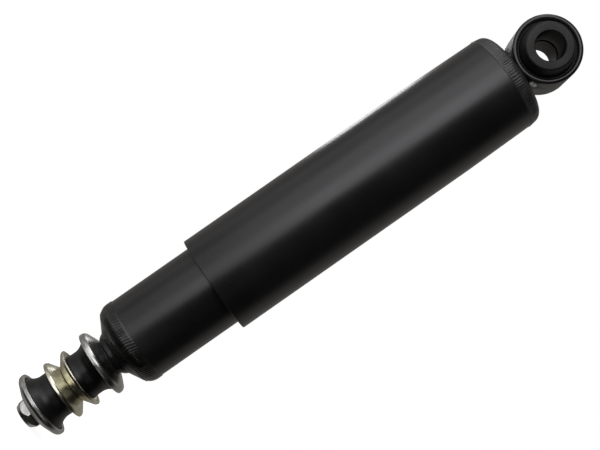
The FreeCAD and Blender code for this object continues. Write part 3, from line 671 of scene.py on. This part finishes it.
def tip_to_eye(bm, tilt):
    """Lay a turned piece across the axis at the height of the eye."""
    bmesh.ops.rotate(bm, verts=bm.verts, cent=(0, 0, 0), matrix=Matrix.Rotation(tilt, 3, "X"))
    bmesh.ops.translate(bm, verts=bm.verts, vec=(0, 0, eye_z))
    return bm


half_ring = ring_high.y
ring_inner_r = eye_r - RING_WALL
eye_ring = lathe([
    (ring_inner_r, -half_ring, RING_ROUND),
    (eye_r, -half_ring, RING_ROUND),
    (eye_r, half_ring, RING_ROUND),
    (ring_inner_r, half_ring, RING_ROUND),
])
for face in eye_ring.faces:
    centre = face.calc_center_median()
    outside = polar(centre)[0] > eye_r - RING_WALL / 2
    face.material_index = int(outside and abs(centre.z) < half_ring - RING_ROUND)
set_piece(tip_to_eye(eye_ring, math.pi / 2), "eye_ring", gloss_black, ring_crust)

bush_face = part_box("eye_bush_rear")[1].y
for node, tilt in (("eye_bush_front", math.pi / 2), ("eye_bush_rear", -math.pi / 2)):
    bush = lathe([
        (eye_bore_r + BUSH_SEAM_DEPTH, 0),
        (ring_inner_r, 0),
        (ring_inner_r, half_ring - BUSH_SETBACK),
        (ring_inner_r - BUSH_GROOVE, half_ring - BUSH_SETBACK, RIM_ROUND),
        (ring_inner_r - BUSH_GROOVE, half_ring, BUSH_ROUND),
        (eye_bore_r + BUSH_FACE_WALL, bush_face, BUSH_ROUND),
        (eye_bore_r, bush_face, BORE_EDGE),
        (eye_bore_r, BUSH_SEAM, RIM_ROUND),
    ])
    # Faces in the bore take the darker rubber, painted shade for the hole.
    for face in bush.faces:
        face.material_index = int(polar(face.calc_center_median())[0] < eye_bore_r + BUSH_SEAM_DEPTH)
    set_piece(tip_to_eye(bush, tilt), node, eye_rubber, bore_rubber_painted_shade)

# %% [markdown]
# ## Eye weld
# The ring sits on the cap in a saddle of weld. A cube is subdivided and its vertices are moved onto the
# saddle: the top follows the ring, the sides are hollow fillets, and the two long beads swell where each
# drop froze.

# %% Saddle of weld
weld_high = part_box("eye_weld")[1]
WELD_CUTS = 47
WELD_SINK = 0.25 * MM
WELD_LEAN = 2.6 * MM
WELD_CORNER = 0.35
WELD_CORNER_POWER = 6
BEAD_PITCH = 3.1 * MM
BEAD_SLANT = 0.3
BEAD_SWELL = 2.8 * MM
BEAD_LEVEL = 0.7
BEAD_FOOT = 0.3
BEAD_EDGE = 7
LUMP_SHARE = 0.6
LUMP_RISE = 6 * MM
LUMP_GRAIN = 5 * MM

saddle = bmesh.new()
bmesh.ops.create_cube(saddle, size=2)
bmesh.ops.subdivide_edges(saddle, edges=saddle.edges[:], cuts=WELD_CUTS, use_grid_fill=True)
for spot in saddle.verts:
    across, along, rise = spot.co
    lift = (rise + 1) / 2
    fillet = (1 - lift) ** 2
    half_width = weld_high.x - WELD_LEAN * (1 - fillet)
    half_length = weld_high.y - WELD_LEAN * (1 - fillet)
    x = across * half_width * math.sqrt(1 - WELD_CORNER * along ** WELD_CORNER_POWER)
    y = along * half_length * math.sqrt(1 - WELD_CORNER * across ** WELD_CORNER_POWER)
    lumps = noise.noise(Vector((x, y, rise * LUMP_RISE)) / LUMP_GRAIN)
    bead = abs(math.sin(math.pi * (y + BEAD_SLANT * x) / BEAD_PITCH))
    swell = BEAD_SWELL * (bead - BEAD_LEVEL + LUMP_SHARE * lumps) * (1 - lift) * (BEAD_FOOT + lift)
    x = math.copysign(min(abs(x + swell * across ** BEAD_EDGE), weld_high.x), across)
    y = math.copysign(min(abs(y + swell * along ** BEAD_EDGE), weld_high.y), along)
    top = eye_z - math.sqrt(eye_r ** 2 - x ** 2) + WELD_SINK
    foot = cap_high.z - WELD_SINK
    spot.co = Vector((x, y, foot + lift * (top - foot)))
bmesh.ops.recalc_face_normals(saddle, faces=saddle.faces)
set_piece(saddle, "eye_weld", crust_black)

# %% [markdown]
# Each bead ends in a drop where the arc was put out. The four drops sit under the rims of the ring, between
# the cap and the ring, and show at its corners. They are rough balls, and a piece of their own.

# %% Drops at the ends of the beads
DROP_R = 2.3 * MM
DROP_FINENESS = 5
DROP_ROUGHNESS = 0.45
DROP_GRAIN = 1.7 * MM
DROP_INSET = 0.3 * MM
DROP_REACH = 2.0 * MM
DROP_LIFT = 3.9 * MM
drop_x = weld_high.x - DROP_INSET
drop_y = weld_high.y + DROP_REACH
drop_z = cap_high.z + DROP_LIFT
drops = bmesh.new()
for x in (-drop_x, drop_x):
    for y in (-drop_y, drop_y):
        heart = Vector((x, y, drop_z))
        ball = bmesh.ops.create_icosphere(
            drops, subdivisions=DROP_FINENESS, radius=DROP_R, matrix=Matrix.Translation(heart)
        )
        for spot in ball["verts"]:
            spot.co += (spot.co - heart) * DROP_ROUGHNESS * noise.noise(spot.co / DROP_GRAIN)
add_piece(drops, "eye_weld_drops", "eye_weld", weld_drop_painted_glint)

# %% [markdown]
# ## Base, its weld and the stem
# The base is a pressed dome inside the tube's end. Its bead is wide with fine crescents, since a robot laid
# it on a turning tube. The stem is forged: a collar that seats the washers, and a plated shank below.

# %% Dome
DOME_WALL = 3.0 * MM
DOME_BEND = 4.9 * MM
DOME_FLAT_R = 14.5 * MM
DOME_SLOPE = math.tan(math.radians(30.3))
TENON_R = 9.0 * MM
dome_r = dome_high.x
dome_corner = dome_low.z + (dome_r - DOME_FLAT_R) * DOME_SLOPE
dome_path = [
    (TENON_R, dome_low.z),
    (DOME_FLAT_R, dome_low.z, DOME_BEND),
    (dome_r, dome_corner, DOME_WALL),
    (dome_r, dome_high.z),
]
set_piece(lathe(pressed(dome_path, DOME_WALL)), "base_cap", satin_black)

# %% Base weld
BASE_WELD_CROWN = 0.5 * MM
BASE_WELD_ROUND = 8.8 * MM
BASE_WELD_FADE = 1.0 * MM
BASE_RIPPLES = 94
BASE_RIPPLE_DEPTH = 0.30 * MM
BASE_RIPPLE_WANDER = 4
BASE_RIPPLE_BEND = -5
base_low, base_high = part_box("base_weld")
base_drop = dome_corner - base_low.z
bead_low = dome_corner + (base_high.x - dome_r) * DOME_SLOPE - BASE_WELD_CROWN
base_weld = lathe([
    (dome_r - base_drop / DOME_SLOPE, base_low.z),
    (base_high.x, bead_low, BASE_WELD_ROUND),
    (base_high.x, base_high.z - BASE_WELD_FADE, BASE_WELD_FADE),
    (tube_r, base_high.z),
    (tube_r - TUBE_WALL / 2, base_high.z),
    (tube_r - TUBE_WALL / 2, tube_low.z),
    (dome_r, dome_corner),
], BASE_RIPPLES, RIPPLE_GRID, RIPPLE_CUTS)
ripple(
    base_weld, dome_r - TUBE_WALL, base_low.z, base_high.z,
    BASE_RIPPLES, BASE_RIPPLE_DEPTH, BASE_RIPPLE_WANDER, BASE_RIPPLE_BEND,
)
set_piece(base_weld, "base_weld", weld_black)

# %% Stem and its weld
STEM_R = 6.0 * MM
STEM_CHAMFER = 1.0 * MM
FILLET_BULGE = 0.25 * MM
collar_r = stem_high.x
collar_top = dome_low.z
stem = lathe([
    (0, stem_low.z),
    (STEM_R - STEM_CHAMFER, stem_low.z),
    (STEM_R, stem_low.z + STEM_CHAMFER),
    (STEM_R, 0),
    (collar_r, 0, RIM_ROUND),
    (collar_r, collar_top),
    (TENON_R, collar_top),
    (TENON_R, stem_high.z),
    (0, stem_high.z),
])
for face in stem.faces:
    face.material_index = int(polar(face.calc_center_median())[0] <= STEM_R)
set_piece(stem, "stem", gloss_black, silver_zinc)

fillet_low, fillet_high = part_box("stem_weld")
fillet_rise = collar_top - fillet_low.z
fillet = lathe([
    (collar_r - RIM_ROUND, fillet_low.z),
    (collar_r, fillet_low.z),
    (
        (collar_r + fillet_high.x) / 2 + FILLET_BULGE,
        (fillet_low.z + collar_top) / 2 - FILLET_BULGE,
        fillet_rise,
    ),
    (fillet_high.x, collar_top),
    (fillet_high.x, fillet_high.z),
    (collar_r - RIM_ROUND, fillet_high.z),
])
set_piece(fillet, "stem_weld", gloss_black)

# %% [markdown]
# ## Cup washers, bushes and nut
# From the collar down: a large cup, a waisted rubber bush, two small cups back to back where the car's
# bracket goes, the second bush, the other large cup and the nut. Each lower piece is the upper one turned
# end for end.

# %% Large cups
CUP_WALL = 2.5 * MM
CUP_RIM = 3.6 * MM
CUP_FLAT_R = 13.0 * MM
CUP_BEND = 5.8 * MM
CUP_SHOULDER = 3.0 * MM
CUP_EDGE = 0.6 * MM
HOLE_CLEARANCE = 0.3 * MM
washer_hole_r = STEM_R + HOLE_CLEARANCE
stack_middle = bracket_low.z


def set_pair(name, corners, material):
    """Make the upper piece of a pair, and the lower one as the same piece turned end for end."""
    for end in ("upper", "lower"):
        bm = lathe(corners)
        if end == "lower":
            turn_over(bm, stack_middle)
        set_piece(bm, name + "_" + end, material)


cup_path = [
    (cup_r, cup_low.z, CUP_EDGE),
    (cup_r, cup_low.z + CUP_RIM, CUP_SHOULDER),
    (CUP_FLAT_R, 0, CUP_BEND),
    (washer_hole_r, 0),
]
set_pair("stem_washer", pressed(cup_path, CUP_WALL), silver_zinc)

# %% Small cups
BRACKET_WALL = 2.0 * MM
BRACKET_RIM = 1.7 * MM
BRACKET_FLAT_R = 12.3 * MM
BRACKET_BEND = 3.7 * MM
BRACKET_SHOULDER = 3.9 * MM
BRACKET_EDGE = 0.5 * MM
bracket_path = [
    (washer_hole_r, bracket_low.z),
    (BRACKET_FLAT_R, bracket_low.z, BRACKET_BEND),
    (bracket_r, bracket_high.z - BRACKET_RIM, BRACKET_SHOULDER),
    (bracket_r, bracket_high.z, BRACKET_EDGE),
]
set_pair("bracket_washer", pressed(bracket_path, BRACKET_WALL), yellow_zinc)

# %% Stem bushes
BUSH_WAIST_R = 14.95 * MM
BUSH_CUP_FLARE = 5.9 * MM
BUSH_BRACKET_FLARE = 3.0 * MM
BUSH_FLARE_ROUND = 7.9 * MM
BUSH_FACE_R = 10.5 * MM
BUSH_EDGE = 0.8 * MM
BUSH_CUP_DIP = 0.8 * MM
BUSH_CUP_GAP = 0.3 * MM
BUSH_BRACKET_GAP = 2.2 * MM
BUSH_BRACKET_DIP = 0.5 * MM
bush_low, bush_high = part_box("stem_bush_upper")
cup_end_r = cup_r - CUP_WALL - BUSH_CUP_GAP
bracket_end_r = bracket_r - BRACKET_WALL - BUSH_BRACKET_GAP
cup_end = cup_low.z + BUSH_CUP_DIP
bracket_end = bracket_high.z - BUSH_BRACKET_DIP
bush_corners = [
    (STEM_R, bush_low.z),
    (BUSH_FACE_R, bush_low.z),
    (bracket_end_r, bracket_end, BUSH_EDGE),
    (BUSH_WAIST_R, bracket_end + BUSH_BRACKET_FLARE, BUSH_FLARE_ROUND),
    (BUSH_WAIST_R, cup_end - BUSH_CUP_FLARE, BUSH_FLARE_ROUND),
    (cup_end_r, cup_end, BUSH_EDGE),
    (BUSH_FACE_R, bush_high.z),
    (STEM_R, bush_high.z),
]
set_pair("stem_bush", bush_corners, stem_rubber)

# %% [markdown]
# The nut starts as a lathe ring with its corners on the steps of the spin. Each rim vertex is then pushed
# out to the hexagon, and its height follows the chamfer cone, which draws the curved edge of a real nut.

# %% Nut
NUT_STEPS = 120
NUT_TURN = math.radians(9)
NUT_FLAT_R = 9.0 * MM
NUT_FACE_R = 8.75 * MM
NUT_CHAMFER = math.tan(math.radians(30))
NUT_CROWN_R = 7.7 * MM
NUT_CROWN = math.tan(math.radians(60.8))
NUT_CORNER_TRIM = 0.1 * MM
NUT_RIM_MARGIN = 0.01 * MM
HALF_FLAT = math.pi / 6
corner_r = NUT_FLAT_R / math.cos(HALF_FLAT) - NUT_CORNER_TRIM
rim_start_r = NUT_FLAT_R - NUT_RIM_MARGIN
nut = lathe([
    (STEM_R, nut_low.z),
    (NUT_CROWN_R, nut_low.z),
    (NUT_FLAT_R, nut_low.z + NUT_CROWN * (NUT_FLAT_R - NUT_CROWN_R)),
    (NUT_FLAT_R, nut_high.z - NUT_CHAMFER * (NUT_FLAT_R - NUT_FACE_R)),
    (NUT_FACE_R, nut_high.z),
    (STEM_R, nut_high.z),
], NUT_STEPS)
nut_middle = (nut_low.z + nut_high.z) / 2
for spot in nut.verts:
    radius, turn = polar(spot.co)
    if radius > rim_start_r:
        off_flat = (turn - NUT_TURN + HALF_FLAT) % (2 * HALF_FLAT) - HALF_FLAT
        reach = min(NUT_FLAT_R / math.cos(off_flat), corner_r)
        high = spot.co.z > nut_middle
        spot.co = Vector((reach * math.cos(turn), reach * math.sin(turn), 0))
        if high:
            spot.co.z = nut_high.z - NUT_CHAMFER * (reach - NUT_FACE_R)
        else:
            spot.co.z = nut_low.z + NUT_CROWN * (reach - NUT_CROWN_R)
set_piece(nut, "stem_nut", nut_zinc)

# %% [markdown]
# ## Valve springs
# Four springs inside hold the valve plates on their seats. The two stiff ones are coils: a circle is spun
# round the axis with a step along it. The two weak ones are coned rings with fingers: a lathe ring loses
# the faces of its slots, and a bridge from the upper rim of each slot to the lower one closes its sides.

# %% Coils
COIL_STEPS = 60
WIRE_SEGMENTS = 16
COIL_WIRES = {"rebound_spring": 2.0 * MM, "compression_spring": 1.2 * MM}
COIL_TURNS = {"rebound_spring": 4, "compression_spring": 2.5}


def coil_spring(node, wire, turns):
    """Coil of round wire that fills the node's box."""
    low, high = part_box(node)
    steps = round(COIL_STEPS * turns)
    rise = high.z - low.z - wire
    start = Matrix.Translation((high.x - wire / 2, 0, low.z + wire / 2))
    bm = bmesh.new()
    bmesh.ops.create_circle(
        bm, radius=wire / 2, segments=WIRE_SEGMENTS, matrix=start @ Matrix.Rotation(math.pi / 2, 4, "X")
    )
    bmesh.ops.spin(
        bm, geom=bm.verts[:] + bm.edges[:], cent=(0, 0, 0), axis=(0, 0, 1), dvec=(0, 0, rise / steps),
        angle=2 * math.pi * turns, steps=steps,
    )
    bmesh.ops.holes_fill(bm, edges=bm.edges)
    bmesh.ops.recalc_face_normals(bm, faces=bm.faces)
    return bm


for node, wire in COIL_WIRES.items():
    set_piece(coil_spring(node, wire, COIL_TURNS[node]), node, inside[node_slots[node]])

# %% Finger springs
FINGER_STEPS = 120
FINGERS = 6
FINGER_PITCH = 2 * math.pi / FINGERS
FINGER_SLOT = 2.6 * MM
FINGER_WALL = 0.4 * MM
FINGER_STRIPS = {"piston_check_spring": 6.4 * MM, "base_check_spring": 5.4 * MM}


def off_slot(point):
    """Angle from the middle of the nearest slot."""
    return (polar(point)[1] + FINGER_PITCH / 2) % FINGER_PITCH - FINGER_PITCH / 2


def finger_spring(node, strip):
    """Coned ring of a given width that fills the node's box, slotted from its middle to its rim."""
    low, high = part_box(node)
    outer_r = high.y
    middle_r = outer_r - strip / 2
    middle = (low.z + high.z - FINGER_WALL) / 2
    bm = lathe([
        (outer_r - strip, high.z - FINGER_WALL),
        (middle_r, middle),
        (outer_r, low.z),
        (outer_r, low.z + FINGER_WALL),
        (middle_r, middle + FINGER_WALL),
        (outer_r - strip, high.z),
    ], FINGER_STEPS)
    half_slot = FINGER_SLOT / (middle_r + outer_r)
    cut = []
    for face in bm.faces:
        centre = face.calc_center_median()
        if polar(centre)[0] > middle_r and abs(off_slot(centre)) < half_slot:
            cut.append(face)
    bmesh.ops.delete(bm, geom=cut, context="FACES")
    rims = {}
    for edge in bm.edges:
        one, other = (spot.co for spot in edge.verts)
        if edge.is_boundary and (one - other).to_2d().length > MERGE:
            slot = round(polar(one + other)[1] / FINGER_PITCH) % FINGERS
            rims.setdefault(slot, []).append(edge)
    for rim in rims.values():
        bmesh.ops.bridge_loops(bm, edges=rim)
    bmesh.ops.recalc_face_normals(bm, faces=bm.faces)
    print(node, "slots", len(rims), "open edges", sum(edge.is_boundary for edge in bm.edges))
    return bm


for node, strip in FINGER_STRIPS.items():
    set_piece(finger_spring(node, strip), node, inside[node_slots[node]])

# %% [markdown]
# A spring shortens as its plate lifts. Each spring that a joint lists as deforming gets its own copy of its
# mesh.

# %% Give each deforming spring its own mesh
for joint in frame["joints"]:
    for row in joint.get("deforming_nodes", ()):
        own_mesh(pieces[row["node"]])

# %% [markdown]
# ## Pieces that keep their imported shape
# Everything else inside the tubes already has its right shape, so those nodes only take a finish.

# %% Dress the inside
for node, packed in frame["nodes"].items():
    if node not in pieces:
        packed.data.materials.clear()
        packed.data.materials.append(inside[node_slots[node]])
        print("inside", node, node_slots[node])

# %% [markdown]
# ## Camera
# The photo looks square at the side of the damper from about 0.8 m, with the long axis leaning over in the
# picture. The axis and the eye give the camera's turn: where the model's Z and its front point in the
# picture. Lengths are in metres.

# %% Camera from the axis and the eye
FOCAL_MM = 75.0
SENSOR_MM = 36.0
DISTANCE = 0.78125
AXIS_TILT = math.radians(2.14)
AXIS_ROLL = math.radians(34.90)
EYE_TURN = math.radians(4.0)
AIM_HEIGHT = 0.1441
SIDE_STEP = 0.27 * MM
CLIP_START = 10 * MM

along = Vector((math.cos(AXIS_ROLL), math.sin(AXIS_ROLL), 0))
beside = Vector((-math.sin(AXIS_ROLL), math.cos(AXIS_ROLL), 0))
toward = Vector((0, 0, 1))
model_up = math.cos(AXIS_TILT) * along - math.sin(AXIS_TILT) * toward
square_on = math.sin(AXIS_TILT) * along + math.cos(AXIS_TILT) * toward
model_front = math.cos(EYE_TURN) * square_on + math.sin(EYE_TURN) * beside
model_side = (-model_front).cross(model_up)
to_camera = Matrix((model_side, -model_front, model_up)).transposed()
aim = SIDE_STEP * beside - DISTANCE * toward
camera = bpy.data.objects.new("photo_camera", bpy.data.cameras.new("photo_camera"))
camera.data.lens = FOCAL_MM
camera.data.sensor_width = SENSOR_MM
camera.data.clip_start = CLIP_START
location = Vector((0, 0, AIM_HEIGHT)) - to_camera.transposed() @ aim
camera.matrix_world = Matrix.Translation(location) @ to_camera.transposed().to_4x4()
bpy.context.scene.collection.objects.link(camera)
bpy.context.scene.camera = camera
bpy.context.scene.view_settings.view_transform = "Standard"
print("camera at", [round(value, 3) for value in location])

# %% [markdown]
# ## Studio
# Black paint shows its surroundings more than its own colour. So the room is dark in front and pale behind,
# which gives the tubes their light edges. Three tall soft boxes stand side by side to the left of the
# camera. The first draws the long streak, and the others let it fade round the side. A box above lights the
# weld at the eye, and a weak card low in front gives the rims of the cups a second gleam. A small card
# close behind lights the far flank of the eye ring. Bearings are in degrees and lengths in metres.

# %% Room
WARM_BOUNCE = (1.0, 0.96, 0.91, 1)
WHITE = (1, 1, 1, 1)
ROOM_FRONT = 0.010
ROOM_REAR = 0.30
ROOM_FADE = 0.35
room = bpy.data.worlds.new("studio_room")
bpy.context.scene.world = room
room.use_nodes = True
tree = room.node_tree
tree.nodes.clear()
view_line = Vector((location.x, location.y, 0)).normalized()
facing = place(tree, "ShaderNodeVectorMath", operation="DOT_PRODUCT")
facing.inputs[1].default_value = -view_line
tree.links.new(place(tree, "ShaderNodeTexCoord").outputs["Generated"], facing.inputs[0])
glow = place(
    tree, "ShaderNodeMapRange", {"From Max": ROOM_FADE, "To Min": ROOM_FRONT, "To Max": ROOM_REAR}
)
tree.links.new(facing.outputs["Value"], glow.inputs["Value"])
lit = place(tree, "ShaderNodeBackground")
tree.links.new(glow.outputs["Result"], lit.inputs["Strength"])
seen = place(tree, "ShaderNodeBackground")
choice = place(tree, "ShaderNodeMixShader")
tree.links.new(place(tree, "ShaderNodeLightPath").outputs["Is Camera Ray"], choice.inputs["Fac"])
tree.links.new(lit.outputs["Background"], choice.inputs[1])
tree.links.new(seen.outputs["Background"], choice.inputs[2])
tree.links.new(choice.outputs["Shader"], place(tree, "ShaderNodeOutputWorld").inputs["Surface"])
lit.inputs["Color"].default_value = WARM_BOUNCE
seen.inputs["Color"].default_value = WHITE
print("room strength", ROOM_FRONT, "in front and", ROOM_REAR, "behind")

# %% Soft boxes
LIGHT_DISTANCE = 1.2
TIER_EDGES = (-0.75, -0.30, 0.02, 0.34, 1.15)
TIER_SHARES = (0.85, 0.45, 1.05, 1.3)
TIER_SWINGS = (7, 7, 0, -4)
COOL_LIGHT = (0.97, 0.97, 1.0)


def round_axis(bearing, distance, height):
    """Spot at a bearing in degrees, measured round the axis from the camera towards the left."""
    turn = math.atan2(view_line.y, view_line.x) - math.radians(bearing)
    return Vector((distance * math.cos(turn), distance * math.sin(turn), height))


def panel(name, spot, aim_height, width, height, radiance):
    """Area light that looks at a height on the axis. It lights the part but is not in the picture."""
    lamp = bpy.data.lights.new(name, "AREA")
    lamp.shape = "RECTANGLE"
    lamp.size = width
    lamp.size_y = height
    lamp.energy = radiance * math.pi * width * height
    lamp.color = COOL_LIGHT
    holder = bpy.data.objects.new(name, lamp)
    holder.location = spot
    holder.rotation_euler = (Vector((0, 0, aim_height)) - spot).to_track_quat("-Z", "Y").to_euler()
    holder.visible_camera = False
    bpy.context.scene.collection.objects.link(holder)
    print(holder.name, "power", round(lamp.energy, 2))


def soft_box(name, start, end, radiance):
    """Upright light between two bearings, in tiers that lean over and brighten towards the eye."""
    width = 2 * LIGHT_DISTANCE * math.tan(math.radians((end - start) / 2))
    for low, high, share, swing in zip(TIER_EDGES, TIER_EDGES[1:], TIER_SHARES, TIER_SWINGS):
        middle = (low + high) / 2
        spot = round_axis((start + end) / 2 + swing, LIGHT_DISTANCE, middle)
        panel(name, spot, middle, width, high - low, radiance * share)


soft_box("streak_box", start=4, end=34, radiance=2.3)
soft_box("shoulder_box", start=34, end=70, radiance=1.3)
soft_box("side_box", start=70, end=104, radiance=0.6)
panel(
    "top_box", round_axis(bearing=75, distance=0.85, height=1.15),
    aim_height=0.25, width=0.7, height=0.5, radiance=3.5,
)
panel(
    "front_card", round_axis(bearing=-22, distance=1.2, height=-0.38),
    aim_height=-0.05, width=1.0, height=0.2, radiance=0.6,
)
panel(
    "back_card", round_axis(bearing=150, distance=0.45, height=0.28),
    aim_height=0.31, width=0.12, height=0.12, radiance=4.0,
)

# %% Floor
FLOOR_GAP = 0.2 * MM
FLOOR_R = 0.35
FLOOR_SEGMENTS = 96
PAPER_COLOUR = (0.8, 0.8, 0.8, 1)
PAPER_ROUGH = 0.9
PAPER_GLOW = 0.85
floor_bm = bmesh.new()
bmesh.ops.create_circle(floor_bm, cap_ends=True, radius=FLOOR_R, segments=FLOOR_SEGMENTS)
bmesh.ops.translate(floor_bm, verts=floor_bm.verts, vec=(0, 0, cad_box[0].z - FLOOR_GAP))
floor_mesh = bpy.data.meshes.new("pale_floor")
floor_bm.to_mesh(floor_mesh)
floor_bm.free()
floor = bpy.data.objects.new("pale_floor", floor_mesh)
bpy.context.scene.collection.objects.link(floor)
paper = bpy.data.materials.new("pale_paper")
paper.use_nodes = True
paper_shader = paper.node_tree.nodes["Principled BSDF"]
paper_shader.inputs["Base Color"].default_value = PAPER_COLOUR
paper_shader.inputs["Roughness"].default_value = PAPER_ROUGH
paper_shader.inputs["Emission Color"].default_value = WHITE
paper_shader.inputs["Emission Strength"].default_value = PAPER_GLOW
floor_mesh.materials.append(paper)
floor.visible_glossy = False
floor.visible_diffuse = False
print("floor at mm", round((cad_box[0].z - FLOOR_GAP) / MM, 2))

# %% [markdown]
# The box of the imported model, taken before dressing, is printed.

# %% Print the imported box
print("cad box", [tuple(round(v / MM, 2) for v in corner) for corner in cad_box])
